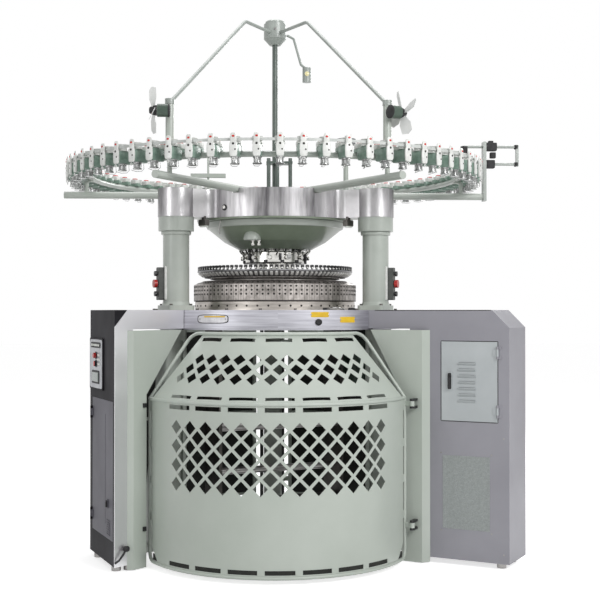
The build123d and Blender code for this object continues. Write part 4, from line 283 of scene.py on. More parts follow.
def rounded(length, width, height, plan=0.25, side=0.2, columns=16, rows=7):
    """A closed block with rounded edges, centred on its origin: a superellipsoid. Its plan and its
    side are the sine and cosine raised to a power, a circle at 1 and squarer towards 0."""
    turn = np.linspace(0, 2 * np.pi, columns, endpoint=False)
    rise = np.linspace(-np.pi / 2, np.pi / 2, rows)[:, None]
    waist = np.where(np.cos(rise) < 1e-9, 0, np.abs(np.cos(rise)) ** side)
    across = np.sign(np.cos(turn)) * np.abs(np.cos(turn)) ** plan
    along = np.sign(np.sin(turn)) * np.abs(np.sin(turn)) ** plan
    up = np.broadcast_to(np.sign(np.sin(rise)) * np.abs(np.sin(rise)) ** side, (rows, columns))
    return np.stack((waist * across * length / 2, waist * along * width / 2, up * height / 2), -1)


def bent_round(shape, angle, radius, height):
    """A flat shape bent round the machine's axis: its first measure becomes an arc on the circle,
    its second goes up and its third outward."""
    turn = np.radians(angle) + shape[..., 0] / radius
    out = radius + shape[..., 2]
    return np.stack((np.sin(turn) * out, -np.cos(turn) * out, shape[..., 1] + height), -1)[None]


def surface(name, grids, material, body="machine", along=False):
    """A piece from grids of points, each copies x rows x columns x 3. A grid closes round its
    columns, and round its rows where along is true; rows drawn to one point close an end. The piece
    rides the standing machine unless another body is named."""
    points, faces, first = [], [], 0
    for grid in grids:
        copies, rows, columns = grid.shape[:3]
        row = np.arange(rows if along else rows - 1)[:, None]
        column = np.arange(columns)[None]
        next_row, next_column = (row + 1) % rows, (column + 1) % columns
        corners = [row * columns + column, row * columns + next_column]
        corners += [next_row * columns + next_column, next_row * columns + column]
        cell = np.stack(corners, -1).reshape(-1, 4)
        step = np.arange(copies)[:, None, None] * rows * columns
        faces.append((cell[None] + step + first).reshape(-1, 4))
        points.append(grid.reshape(-1, 3))
        first += copies * rows * columns
    mesh = bpy.data.meshes.new(name)
    mesh.from_pydata(np.concatenate(points).tolist(), [], np.concatenate(faces).tolist())
    work = bmesh.new()
    work.from_mesh(mesh)
    bmesh.ops.remove_doubles(work, verts=work.verts, dist=2e-6)
    bmesh.ops.recalc_face_normals(work, faces=work.faces)
    work.to_mesh(mesh)
    work.free()
    mesh.shade_smooth()
    sharp_edge = np.radians(35)
    mesh.set_sharp_from_angle(angle=sharp_edge)
    mesh.materials.append(material)
    piece = bpy.data.objects.new(name, mesh)
    bpy.context.scene.collection.objects.link(piece)
    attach(piece, body)
    return piece


def radius_of(node):
    """A round node's radius, from the frame."""
    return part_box(node)[1].x


def top_of(node):
    """The height of a node's top, from the frame."""
    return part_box(node)[1].z


bed_top = top_of("bed_plate")
band_radius = radius_of("bed_trim")
seam_rubber = finish(
    "seam_rubber", (40, 40, 42), (24, 24, 25), 0.7, mottle=40, tooth=0.0002, tooth_scale=600
)
seam_angles = [-43.9, 44.7]
seam_middle = 1.2572
band_seam = rounded(0.006, 0.011, 0.104, side=0.1)
surface(
    "band_seams",
    [carried(band_seam, places_round(seam_angles, band_radius + 0.001, seam_middle))],
    seam_rubber,
)

# Plates on the band: a bare alloy nameplate in a dark rim with a yellow edge, two plain yellow
# plates, and a black knob, all stuck or screwed on.
alloy_plate = finish(
    "alloy_plate", (226, 225, 228), (204, 203, 208), 0.3, metallic=0.3, mottle=14, grain=(4, 1, 1),
    tooth=0.00004,
)
nameplate_angle = -28.2
nameplate_middle = 1.2628
nameplate = rounded(0.180, 0.040, 0.0024, plan=0.45, columns=64)
surface(
    "band_nameplate",
    [bent_round(nameplate, nameplate_angle, band_radius, nameplate_middle)],
    alloy_plate,
)
nameplate_rim = rounded(0.187, 0.047, 0.0016, plan=0.45, columns=64)
surface(
    "band_nameplate_rim",
    [bent_round(nameplate_rim, nameplate_angle, band_radius, nameplate_middle)],
    seam_rubber,
)
plate_yellow = finish(
    "plate_yellow", (240, 200, 44), (226, 182, 30), 0.38, mottle=24, tooth=0.00005
)
upper_plate_middle = 1.2860
lower_plate_middle = 1.2590
nameplate_edge = rounded(0.128, 0.0075, 0.0036, plan=0.3, columns=48)
upper_plate = rounded(0.100, 0.028, 0.0024, plan=0.2, columns=48)
lower_plate = rounded(0.096, 0.031, 0.0024, plan=0.2, columns=48)
surface(
    "band_yellow_plates",
    [
        bent_round(nameplate_edge, -27.2, band_radius, 1.2752),
        bent_round(upper_plate, 17.8, band_radius, upper_plate_middle),
        bent_round(lower_plate, 30.9, band_radius, lower_plate_middle),
    ],
    plate_yellow,
)
knob_profile = [
    (0, -0.002), (0.0165, -0.002), (0.0175, 0.004), (0.016, 0.012), (0.0105, 0.0135),
    (0.0095, 0.0115), (0, 0.0115),
]


def faced(angles, radius, height):
    """Places round the axis whose third direction points out, for things screwed to a wall."""
    origins, directions = places_round(angles, radius, height)
    return origins, directions[:, [1, 2, 0]]


knob_place = faced(17.1, band_radius, 1.2470)
surface("band_knob", [carried(turned(knob_profile, 28), knob_place)], seam_rubber)
plate_screw = turned([(0, -0.001), (0.0034, -0.001), (0.0032, 0.0012), (0.0018, 0.0019), (0, 0.0019)], 10)
plate_screw_places = [
    (-34.3, nameplate_middle), (-22.1, nameplate_middle), (13.95, upper_plate_middle),
    (21.65, upper_plate_middle), (27.3, lower_plate_middle), (34.5, lower_plate_middle),
]
surface(
    "plate_screws",
    [
        carried(plate_screw, faced(angle, band_radius + 0.001, height))
        for angle, height in plate_screw_places
    ],
    turned_steel,
)

# Bed top: blackened cap screws round its edge, clear of the columns, a turned oil cup on its
# flange, and two black plastic plugs pressed in beside it.
screw_profile = [
    (0, -0.002), (0.0085, -0.002), (0.0085, 0.0078), (0.0075, 0.0088), (0.0045, 0.0088),
    (0.0042, 0.004), (0, 0.004),
]
cap_screw = turned(screw_profile, 14)
bed_screw_circle = 0.694
bed_screw_pitch = 15.0
column_angles = (-60, 60, 180)
clear_of_column = 14.0
bed_screw_angles = [
    angle
    for angle in np.arange(bed_screw_pitch / 2, 360, bed_screw_pitch)
    if min(abs((angle - column + 180) % 360 - 180) for column in column_angles) > clear_of_column
]
surface(
    "bed_screws",
    [carried(cap_screw, places_round(bed_screw_angles, bed_screw_circle, bed_top))],
    gear_iron,
)
oil_cup_profile = [
    (0, -0.002), (0.052, -0.002), (0.054, 0.003), (0.050, 0.009), (0.030, 0.012), (0.026, 0.016),
    (0, 0.017),
]
oil_cup_place = places_round(29.0, 0.632, bed_top)
surface("bed_oil_cup", [carried(turned(oil_cup_profile, 32), oil_cup_place)], turned_steel)
plug_profile = [(0, -0.002), (0.019, -0.002), (0.020, 0.008), (0.016, 0.012), (0, 0.013)]
plug_places = places_round([22.6, 36.5], 0.668, bed_top)
surface("bed_plugs", [carried(turned(plug_profile, 20), plug_places)], seam_rubber)


# Knitting head: the cam ring, the needle cylinder and the dial, turned and ground from bright tool
# steel and oiled. The cam ring is bolted down on its plain base ring.
cam_steel = finish(
    "cam_steel", (188, 182, 178), (122, 118, 114), 0.36, metallic=0.9, mottle=5, grain=(3, 1, 4),
    tooth=0.00008, tooth_scale=120, round_axis=True,
)
dress(cam_steel, "cam_ring", "needle_cylinder", "dial")

# Cam sections: 96 side by side with a seam between them, each held and set by screws in four rows,
# the top row on the slope. A dark slit parts them from the plain ring below.
cam_count = 96
cam_pitch = 360 / cam_count
cam_ring_radius = radius_of("cam_ring")
section_angles = np.arange(cam_count) * cam_pitch
section_middles = section_angles + cam_pitch / 2
cam_screw_profile = [
    (0, 0.0002), (0.0026, 0.0002), (0.0029, 0.0013), (0.0053, 0.0013), (0.0059, 0.0007),
    (0.0059, -0.001), (0, -0.001),
]
cam_screw = turned(cam_screw_profile, 10)
screw_black = finish(
    "screw_black", (58, 55, 53), (34, 32, 31), 0.4, metallic=0.6, mottle=60, tooth=0.0001
)
flat_radius = cam_ring_radius * np.cos(np.radians(cam_pitch / 2))
cam_screw_heights = (1.4413, 1.4197, 1.3981)
cam_screws = [
    carried(cam_screw, faced(section_middles, flat_radius, height)) for height in cam_screw_heights
]


def sloped(angles, radius, height, moved_in, moved_up):
    """Places round the axis on a slope, whose third direction stands square to it. The slope moves
    in by one measure, or out where that is negative, while it moves up by the other."""
    origins, directions = places_round(angles, radius, height)
    length = np.hypot(moved_in, moved_up)
    out, along, up = directions[:, 0], directions[:, 1], directions[:, 2]
    climb = (moved_up * up - moved_in * out) / length
    square = (moved_up * out + moved_in * up) / length
    return origins, np.stack((along, climb, square), 1)


cam_slope_in = 0.052
cam_slope_up = 0.022
slope_places = sloped(section_middles, 0.4445, 1.4620, cam_slope_in, cam_slope_up)
cam_screws.append(carried(cam_screw, slope_places))
surface("cam_screws", cam_screws, screw_black)
seam_dark = finish("seam_dark", (52, 48, 46), (30, 28, 27), 0.6, mottle=50, tooth=0.0001)
cam_seam = rounded(0.0012, 0.0011, 0.088, side=0.1, columns=8, rows=5)
cam_seam_middle = 1.4085
surface(
    "cam_seams",
    [carried(cam_seam, places_round(section_angles, cam_ring_radius, cam_seam_middle))],
    seam_dark,
)


def hoop(profile, columns=192):
    """A ring round the machine's axis: a closed profile of radius and height carried once round."""
    return turned(profile, columns)[None]


slit_profile = [(0.4610, 1.3600), (0.4668, 1.3600), (0.4668, 1.3648), (0.4610, 1.3648)]
surface("cam_slit", [hoop(slit_profile)], seam_dark, along=True)
base_screw_angles = section_middles[::2]
base_screw_height = 1.3340
surface(
    "cam_base_screws",
    [carried(cam_screw, faced(base_screw_angles, radius_of("cam_ring_base"), base_screw_height))],
    screw_black,
)
dial_steel = finish(
    "dial_steel", (150, 150, 152), (92, 92, 95), 0.4, metallic=0.9, mottle=8, tooth=0.0001
)
dress(dial_steel, "dial_cam_ring")
hub_chrome = finish(
    "hub_chrome", (232, 231, 227), (172, 171, 167), 0.18, metallic=1.0, mottle=12, grain=(1, 1, 3),
    tooth=0.00006,
)
dress(hub_chrome, "dial_hub")
guide_black = finish("guide_black", (34, 34, 36), (18, 18, 20), 0.38, mottle=30, tooth=0.0001)
dress(
    guide_black, "yarn_guides", "gate_hinges", "jog_button_left", "jog_button_right",
    "start_button_left", "start_button_right",
)

# Dial cams: a ground steel block screwed to the rim's slope below each yarn guide, over a dark
# lower edge. Each guide has a black plastic tip on its top and an eye in its front.
rim_slope_out = 0.042
rim_slope_up = 0.031
rim_places = sloped(section_angles, 0.4275, 1.5122, -rim_slope_out, rim_slope_up)
dial_block_steel = finish(
    "dial_block_steel", (232, 232, 230), (186, 186, 184), 0.3, metallic=0.35, mottle=30, tooth=0.0001
)
dial_block = rounded(0.0155, 0.030, 0.012, columns=12, rows=7)
surface("dial_blocks", [carried(dial_block, rim_places)], dial_block_steel)
dial_edge_profile = [
    (0.383, 1.4935), (0.406, 1.4935), (0.4075, 1.4975), (0.4045, 1.4990), (0.383, 1.4990),
]
surface("dial_edge", [hoop(dial_edge_profile)], seam_dark, along=True)
guide_tip = rounded(0.015, 0.020, 0.017, plan=0.4, side=0.5, columns=10, rows=5)
guide_tip_places = places_round(section_angles, 0.4375, 1.5490)
surface("guide_tips", [carried(guide_tip, guide_tip_places)], guide_black)
guide_eye = turned([(0, 0), (0.0042, 0), (0.0046, 0.0022), (0.0022, 0.0034), (0, 0.0034)], 8)
guide_eye_places = faced(section_angles, radius_of("yarn_guides"), 1.5400)
surface("guide_eyes", [carried(guide_eye, guide_eye_places)], dial_block_steel)


# Hub tools: bent steel setting levers, black moulded grips and knurled knobs, all chromed or
# plastic, stand round the chromed hub, with a white ball on its timing lever.
def bar(path, radius, columns=8):
    """A round bar along each of several paths of points: a circle of the radius stands across the
    path's run at every point, and both ends are drawn to a point."""
    path = np.asarray(path, float)
    path = path[None] if path.ndim == 2 else path
    run = np.gradient(path, axis=1)
    side = np.cross(run, (0.31, 0.17, 0.93))
    side /= np.linalg.norm(side, axis=-1, keepdims=True)
    rise = np.cross(run, side)
    rise /= np.linalg.norm(rise, axis=-1, keepdims=True)
    turn = np.linspace(0, 2 * np.pi, columns, endpoint=False)[:, None]
    across = np.cos(turn) * side[:, :, None] + np.sin(turn) * rise[:, :, None]
    ring = path[:, :, None] + radius * across
    ends = np.broadcast_to(path[:, :, None], ring.shape)
    return np.concatenate((ends[:, :1], ring, ends[:, -1:]), 1)


def points_round(angles, radii, heights):
    """Points by angle in degrees, distance from the axis and height."""
    turn = np.radians(np.asarray(angles, float))
    radii, heights = np.broadcast_arrays(np.asarray(radii, float), np.asarray(heights, float) + 0 * turn)
    return np.stack((np.sin(turn) * radii, -np.cos(turn) * radii, heights), -1)


lever_count = 24
lever_pitch = 360 / lever_count
lever_angles = np.arange(lever_count)[:, None] * lever_pitch + np.array([[0.0, 1.0, 3.0, 4.5]])
lever_radii = np.array([[0.150, 0.176, 0.196, 0.204]]) + 0 * lever_angles
lever_heights = np.array([[1.602, 1.622, 1.640, 1.652]]) + 0 * lever_angles
levers = points_round(lever_angles, lever_radii, lever_heights)
surface("hub_levers", [bar(levers, 0.0052)], hub_chrome)
tall_grip = rounded(0.020, 0.015, 0.040, plan=0.4, side=0.3)
tall_grip_places = places_round(np.arange(6) * 60.0 + 8, 0.184, 1.6120)
low_grip = rounded(0.014, 0.022, 0.018, plan=0.4, side=0.3)
low_grip_places = places_round(np.arange(12) * 30.0 + 12, 0.181, 1.5860)
surface(
    "hub_grips",
    [carried(tall_grip, tall_grip_places), carried(low_grip, low_grip_places)],
    guide_black,
)
knurled_profile = [
    (0, 0), (0.006, 0), (0.006, 0.008), (0.0115, 0.009), (0.012, 0.019), (0.010, 0.021), (0, 0.021),
]
hub_knob_places = faced(np.arange(12) * 30.0 + 20, 0.178, 1.6080)
surface("hub_knobs", [carried(turned(knurled_profile, 16), hub_knob_places)], hub_chrome)
hub_pin_profile = [(0, 0), (0.0065, 0), (0.0065, 0.012), (0.004, 0.0125), (0.004, 0.0175), (0, 0.0175)]
hub_pin_places = places_round(np.arange(16) * 22.5, 0.150, 1.6420)
surface("hub_pins", [carried(turned(hub_pin_profile, 12), hub_pin_places)], guide_black)
ball_white = finish(
    "ball_white", (240, 240, 238), (224, 224, 222), 0.25, mottle=60, tooth=0.00003, coat=0.3
)
ball_size = 0.030
ball = rounded(ball_size, ball_size, ball_size, plan=1, side=1, columns=24, rows=13)
ball_place = places_round(22.4, 0.196, 1.6150)
surface("hub_ball", [carried(ball, ball_place)], ball_white)
button_red = finish("button_red", (196, 40, 34), (158, 26, 24), 0.3, mottle=40, tooth=0.00005)
dress(button_red, "stop_button_left", "stop_button_right", "panel_stop_button")


# Top: the cast bowl bolted under the top plate, sprayed a darker green than the other castings,
# and the band rolled from brushed stainless sheet round the plate.
bowl_enamel = finish(
    "bowl_enamel", (146, 158, 139), (120, 132, 114), 0.33, mottle=2.6, tooth=0.0005, tooth_scale=80,
    coat=0.35,
)
dress(bowl_enamel, "dial_bridge")

# On the bowl: a lip above its rim, coloured in the paler casting enamel as a painted highlight along
# the bowl's top edge, the stitch gear's boss with its spindle, a slanting oil pipe on the left, and a
# strip lamp on a bracket under each front lobe.
lip_profile = [
    (0.3835, 1.7740), (0.3905, 1.7760), (0.3960, 1.7870), (0.3985, 1.8080), (0.3900, 1.8090),
    (0.3830, 1.7900),
]
# The lip's pale enamel is a painted highlight; the bowl itself is the darker green.
surface("bowl_lip_highlight", [hoop(lip_profile)], casting_enamel, along=True)
boss_angle = -24.6
boss_profile = [
    (0, 1.695), (0.043, 1.695), (0.047, 1.699), (0.047, 1.712), (0.043, 1.728), (0.032, 1.742),
    (0.016, 1.749), (0, 1.751),
]
boss_place = places_round(boss_angle, 0.318, 0.0)
surface("bowl_boss", [carried(turned(boss_profile, 32), boss_place)], casting_enamel)
spindle_profile = [
    (0, 1.668), (0.010, 1.668), (0.011, 1.672), (0.011, 1.680), (0.006, 1.681), (0.006, 1.690),
    (0.013, 1.691), (0.013, 1.697), (0, 1.697),
]
spindle_places = places_round([boss_angle, -18.0], 0.305, 0.0)
surface("bowl_spindle", [carried(turned(spindle_profile, 16), spindle_places)], hub_chrome)
oil_pipe_angles = [-49.7, -51.5, -54.0, -56.0]
oil_pipe = points_round(oil_pipe_angles, [0.402, 0.398, 0.392, 0.380], [1.806, 1.790, 1.760, 1.738])
surface("bowl_oil_pipe", [bar(oil_pipe, 0.0045)], ball_white)
lamp_angles = np.array([-52.0, 52.0])
lamp_circle = 0.505
lamp_bracket = rounded(0.030, 0.070, 0.034, plan=0.2)
lamp_stem = rounded(0.014, 0.030, 0.040, plan=0.3)
surface(
    "lamp_brackets",
    [
        carried(lamp_bracket, places_round(lamp_angles, lamp_circle, 1.7900)),
        carried(lamp_stem, places_round(lamp_angles, lamp_circle, 1.8070)),
    ],
    gear_iron,
)
lamp_milk = finish("lamp_milk", (240, 242, 236), (222, 226, 220), 0.3, mottle=30, tooth=0.00003)
lamp_lens = rounded(0.024, 0.058, 0.012, plan=0.3, side=0.5)
lamp_lens_places = places_round(lamp_angles, lamp_circle, 1.7720)
surface("lamp_lenses", [carried(lamp_lens, lamp_lens_places)], lamp_milk)

# Column screws: four blackened cap screws hold down each column's square foot, and a cast ring
# lies under each lobe of the top plate.
column_circle = 0.634
foot_screw_offset = 0.060
foot_screw_seat = 1.336
column_places = [
    places_round(
        column + np.degrees(np.arctan2(aside, column_circle + out)),
        np.hypot(aside, column_circle + out),
        foot_screw_seat,
    )
    for column in column_angles
    for out in (-foot_screw_offset, foot_screw_offset)
    for aside in (-foot_screw_offset, foot_screw_offset)
]
surface("column_screws", [carried(cap_screw, place) for place in column_places], gear_iron)
collar_profile = [
    (0.0715, 1.722), (0.080, 1.722), (0.082, 1.726), (0.082, 1.738), (0.080, 1.742),
    (0.0715, 1.742),
]
surface(
    "column_collars",
    [carried(turned(collar_profile, 40), places_round(column_angles, column_circle, 0.0))],
    casting_enamel,
    along=True,
)
# The band's finish runs from near white to dark grey in upright stripes round the axis: painted reflections
# of the studio, laid over the brushed grain.
top_band_painted_sheen = finish(
    "top_band_painted_sheen", (226, 224, 226), (96, 94, 97), 0.30, metallic=0.9, mottle=2.6, grain=(2.2, 1, 0.5),
    tooth=0.00005, tooth_scale=60, round_axis=True,
)
dress(top_band_painted_sheen, "top_trim")

# Top knob: a small chromed knob in a dark ring, screwed into the band's left, which locks the
# bowl's cover.
top_knob_angle = -39.1
top_knob_height = 1.8720
knob_ring_profile = [(0, -0.002), (0.017, -0.002), (0.017, 0.003), (0.015, 0.004), (0, 0.004)]
knob_ring_place = faced(top_knob_angle, 0.4490, top_knob_height)
surface("top_knob_ring", [carried(turned(knob_ring_profile, 24), knob_ring_place)], seam_rubber)
top_knob_profile = [(0, 0), (0.0115, 0), (0.012, 0.006), (0.010, 0.011), (0.005, 0.013), (0, 0.0133)]
top_knob_place = faced(top_knob_angle, 0.4500, top_knob_height)
surface("top_knob", [carried(turned(top_knob_profile, 20), top_knob_place)], hub_chrome)


# Yarn feeding: 66 moulded feeders clamped on a round tube, which is bent from steel and enamelled.
# One pale toothed tape drives them all.
ring_enamel = finish(
    "ring_enamel", (196, 201, 195), (172, 179, 172), 0.34, mottle=4, tooth=0.0002, coat=0.2
)
dress(ring_enamel, "feeder_ring")
feeder_green = finish("feeder_green", (148, 170, 158), (112, 138, 124), 0.38, mottle=30, tooth=0.0001)
feeder_white = finish("feeder_white", (240, 241, 238), (214, 216, 212), 0.32, mottle=30, tooth=0.0001)
dress(feeder_green, "feeder_housings")
dress(feeder_white, "feeder_rotors")

# Feeder wheels, 66 of each. Above, a white dished pulley runs on the tape; below, a reel of bright
# pins between two flanges winds the yarn. Both turn on the housing's shaft.
feeder_count = 66
feeder_angles = np.arange(feeder_count) * (360 / feeder_count)
wheel_circle = 1.139
wheel_places = places_round(feeder_angles, wheel_circle, 0.0)
pulley_profile = [
    (0, 2.1093), (0.0265, 2.1093), (0.027, 2.1115), (0.0235, 2.1145), (0.0235, 2.1385),
    (0.027, 2.1410), (0.026, 2.1432), (0.017, 2.1425), (0.012, 2.1385), (0.008, 2.1425),
    (0, 2.1430),
]
feeder_pulleys = surface(
    "feeder_pulleys",
    [carried(turned(pulley_profile, 14), wheel_places)],
    feeder_white,
)
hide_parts("feeder_rotors")
reel_steel = finish(
    "reel_steel", (206, 207, 206), (120, 121, 121), 0.28, metallic=0.8, mottle=60,
    grain=(1, 1, 0.3), tooth=0.00006,
)
reel_profile = [
    (0, 2.0095), (0.020, 2.0095), (0.024, 2.0120), (0.0235, 2.0145), (0.0165, 2.0180),
    (0.0155, 2.0270), (0.0165, 2.0360), (0.022, 2.0400), (0.0225, 2.0450), (0, 2.0452),
]
surface("feeder_reels", [carried(turned(reel_profile, 14), wheel_places)], reel_steel)
pin_circle = 0.0185
pin_turns = np.radians(np.arange(6) * 60.0)
pin_offset = pin_circle * np.stack((np.cos(pin_turns), np.sin(pin_turns)), -1)
pin_out = wheel_circle + pin_offset[:, :1]
pin_angles = feeder_angles + np.degrees(pin_offset[:, 1:] / pin_out)
pin_foot = 2.0125
pin_head = 2.0405
pin_feet = points_round(pin_angles, pin_out + 0 * pin_angles, pin_foot + 0 * pin_angles)
pin_heads = points_round(pin_angles, pin_out + 0 * pin_angles, pin_head + 0 * pin_angles)
pin_paths = np.stack((pin_feet, pin_heads), -2).reshape(-1, 2, 3)
surface("reel_pins", [bar(pin_paths, 0.0017, columns=5)], reel_steel)

# Feeder bodies: a green moulding hooked over the ring, with a white oval front that stands up
# before the pulley. It carries a red stop lamp above and below, a screw and a ceramic eyelet.
hook_circle = 1.066
feeder_case = rounded(0.104, 0.038, 0.064, plan=0.3, side=0.25, columns=12)
feeder_hook = rounded(0.076, 0.034, 0.023, plan=0.3, side=0.3, columns=12)
feeder_bodies = surface(
    "feeder_bodies",
    [
        carried(feeder_case, places_round(feeder_angles, 1.124, 2.0770)),
        carried(feeder_hook, places_round(feeder_angles, hook_circle, 2.0975)),
    ],
    feeder_green,
)
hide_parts("feeder_housings")
hook_cover = rounded(0.046, 0.042, 0.028, plan=0.3, side=0.35, columns=12)
lower_front = rounded(0.013, 0.040, 0.074, plan=0.5, side=0.45, columns=14)
upper_front = rounded(0.011, 0.031, 0.058, plan=0.6, side=0.6, columns=14)
surface(
    "feeder_covers",
    [
        carried(hook_cover, places_round(feeder_angles, hook_circle, 2.1185)),
        carried(lower_front, places_round(feeder_angles, 1.1800, 2.0790)),
        carried(upper_front, places_round(feeder_angles, 1.1795, 2.1290)),
    ],
    feeder_white,
)
lamp_red = finish("lamp_red", (214, 58, 46), (176, 34, 32), 0.25, mottle=80, tooth=0.00003)
hook_lamp = rounded(0.026, 0.026, 0.008, plan=0.4, side=0.4, columns=10, rows=5)
upper_lamp = rounded(0.008, 0.015, 0.011, plan=0.7, side=0.7, columns=8, rows=5)
lower_lamp = rounded(0.012, 0.017, 0.014, plan=0.7, side=0.7, columns=8, rows=5)
surface(
    "feeder_lamps",
    [
        carried(hook_lamp, places_round(feeder_angles, hook_circle, 2.1345)),
        carried(upper_lamp, places_round(feeder_angles, 1.1835, 2.1400)),
        carried(lower_lamp, places_round(feeder_angles - 0.35, 1.1800, 2.0560)),
    ],
    lamp_red,
)
eyelet_rim = [
    (0.0042, 0), (0.0056, -0.0022), (0.0074, -0.0018), (0.0080, 0), (0.0074, 0.0018),
    (0.0056, 0.0022),
]
eyelet_circle = 1.1830
eyelet_places = faced(feeder_angles, eyelet_circle, 2.0320)
surface("feeder_eyelets", [carried(turned(eyelet_rim, 10), eyelet_places)], ball_white, along=True)


def path_round(angles, steps):
    """A path at each angle, from steps of further turn in degrees, distance from the axis and
    height."""
    return np.stack([points_round(angles + turn, radius, height) for turn, radius, height in steps], 1)


bracket_steps = ((0, 1.164, 2.0480), (0, 1.176, 2.0440), (0, eyelet_circle, 2.0400))
bracket_path = path_round(feeder_angles, bracket_steps)
surface("eyelet_brackets", [bar(bracket_path, 0.0022, columns=5)], reel_steel)
feeler_steps = (
    (0, 1.110, 2.044), (0, 1.108, 2.014), (-0.6, 1.112, 2.003), (-1.5, 1.135, 2.001),
    (-1.6, 1.165, 2.006),
)
feeler_path = path_round(feeder_angles + 0.75, feeler_steps)
surface("feeder_feelers", [bar(feeler_path, 0.0014, columns=5)], reel_steel)
front_face = 1.1860
front_screw = turned([(0, -0.001), (0.0058, -0.001), (0.0058, 0.0012), (0.0030, 0.0016), (0, 0.0016)], 8)
small_front_screw = turned([(0, -0.001), (0.0042, -0.001), (0.0042, 0.0010), (0, 0.0010)], 8)
surface(
    "feeder_screws",
    [
        carried(front_screw, faced(feeder_angles, front_face, 2.1040)),
        carried(small_front_screw, faced(feeder_angles + 0.45, front_face, 2.0760)),
    ],
    screw_black,
)
tape_pale = finish("tape_pale", (214, 217, 214), (190, 194, 191), 0.6, mottle=30, tooth=0.0001)
dress(tape_pale, "feeder_belt")


# Overhead gear: the mast in dark enamel, its arms and the belt tensioner in pale, and white fan
# blades.
mast_enamel = finish("mast_enamel", (92, 104, 97), (66, 77, 71), 0.34, mottle=5, tooth=0.0002, coat=0.2)
dress(mast_enamel, "mast")
arm_enamel = finish(
    "arm_enamel", (172, 178, 173), (148, 155, 150), 0.34, mottle=5, tooth=0.0002, coat=0.2
)
dress(arm_enamel, "mast_hub", "mast_arms", "belt_tensioner")

# On the mast: the hub's clamp screws, the lamp's pale lens, and the black clamps and corner pieces
# of the belt tensioner's rods.
clamp_screw_profile = [(0, -0.001), (0.0075, -0.001), (0.0075, 0.006), (0.004, 0.0065), (0, 0.0065)]
clamp_screw_places = faced([0, 120, 240], radius_of("mast_hub") - 0.0005, 2.9250)
clamp_screw = turned(clamp_screw_profile, 12)
surface("mast_screws", [carried(clamp_screw, clamp_screw_places)], turned_steel)
tensioner_angle = 90
upper_rod = 2.2620
lower_rod = 2.1610
rod_end = 1.4080
tensioner_wheel = 1.102
upper_clamp = rounded(0.068, 0.046, 0.048, plan=0.2)
clamp_head = rounded(0.030, 0.030, 0.060, plan=0.3)
hanging_block = rounded(0.034, 0.034, 0.034, plan=0.3)
lower_clamp = rounded(0.056, 0.046, 0.048, plan=0.2)
corner_piece = rounded(0.023, 0.032, 0.024, plan=0.5)
wheel_profile = [(0, 2.216), (0.021, 2.216), (0.021, 2.264), (0.010, 2.267), (0, 2.267)]
surface(
    "tensioner_clamps",
    [
        carried(upper_clamp, places_round(tensioner_angle, 1.2590, upper_rod)),
        carried(clamp_head, places_round(tensioner_angle, 1.2580, 2.2680)),
        carried(hanging_block, places_round(tensioner_angle, 1.2700, 2.2130)),
        carried(lower_clamp, places_round(tensioner_angle, 1.2530, lower_rod)),
        carried(corner_piece, places_round(tensioner_angle, rod_end, upper_rod)),
        carried(corner_piece, places_round(tensioner_angle, rod_end, lower_rod)),
        carried(turned(wheel_profile, 20), places_round(tensioner_angle, tensioner_wheel, 0.0)),
    ],
    seam_rubber,
)
lens_yellow = finish(
    "lens_yellow", (244, 236, 186), (226, 214, 156), 0.2, mottle=40, tooth=0.00003, coat=0.4
)
lens_middle = np.array([[0.184, -0.0245, 2.6760]])
lens_directions = np.array([[[1.0, 0, 0], [0, 0, 1.0], [0, -1.0, 0]]])
lens = turned([(0, -0.002), (0.013, -0.002), (0.0135, 0.002), (0.009, 0.005), (0, 0.006)], 20)
surface("lamp_lens", [carried(lens, (lens_middle, lens_directions))], lens_yellow)
blade_white = finish("blade_white", (232, 233, 231), (210, 212, 210), 0.36, mottle=9, tooth=0.0001)
dress(blade_white, "fan_blades_left", "fan_blades_right")

# Fan hubs: a black cone over each fan's nut, a black cap on the motor's back, and one small red
# balance mark on a blade.
fan_turn = np.radians(30)
right_axis = (np.cos(fan_turn), np.sin(fan_turn), 0.0)
fan_axes = {"left": (-30.0, (-1.0, 0.0, 0.0)), "right": (30.0, right_axis)}
fan_circle = 1.1493
fan_height = 2.2880
cone_profile = [
    (0.0242, 0.002), (0.0262, 0.004), (0.0250, 0.014), (0.0190, 0.030), (0.0145, 0.0385),
    (0.0100, 0.0400), (0.0100, 0.0380), (0.0135, 0.0370),
]
cone_ahead = 0.0233
motor_cap_profile = [
    (0, -0.0395), (0.024, -0.0395), (0.031, -0.0360), (0.0335, -0.0340), (0.0335, -0.0300),
    (0, -0.0300),
]
mark_turn = np.radians(110.0)
mark_pitch = np.radians(28.0)
mark_ahead, mark_out, mark_proud = 0.0423, 0.088, 0.0014
balance_mark = rounded(0.010, 0.010, 0.0012, plan=1, side=0.3, columns=16, rows=5)
upward = np.array((0, 0, 1.0))
for side, (angle, axis) in fan_axes.items():
    middle = points_round(angle, fan_circle, fan_height)
    ahead = np.array(axis)
    across = np.cross(upward, ahead)
    fan_directions = np.stack((across, upward, ahead))[None]
    cone_place = ((middle + ahead * cone_ahead)[None], fan_directions)
    cone = carried(turned(cone_profile, 28), cone_place)
    surface("fan_cone_" + side, [cone], seam_rubber, "fan_" + side, along=True)
    motor_cap = carried(turned(motor_cap_profile, 28), (middle[None], fan_directions))
    surface("fan_motor_end_" + side, [motor_cap], seam_rubber)
    reach = upward * np.cos(mark_turn) + across * np.sin(mark_turn)
    edge = np.cross(ahead, reach)
    normal = ahead * np.cos(mark_pitch) + edge * np.sin(mark_pitch)
    mark_middle = middle + ahead * mark_ahead + reach * mark_out + normal * mark_proud
    mark_directions = np.stack((reach, np.cross(normal, reach), normal))[None]
    mark = carried(balance_mark, (mark_middle[None], mark_directions))
    surface("fan_mark_" + side, [mark], lamp_red, "fan_" + side)
pulley_steel = finish(
    "pulley_steel", (120, 122, 124), (84, 86, 88), 0.32, metallic=0.8, mottle=10, tooth=0.0001
)
dress(pulley_steel, "quality_pulley")


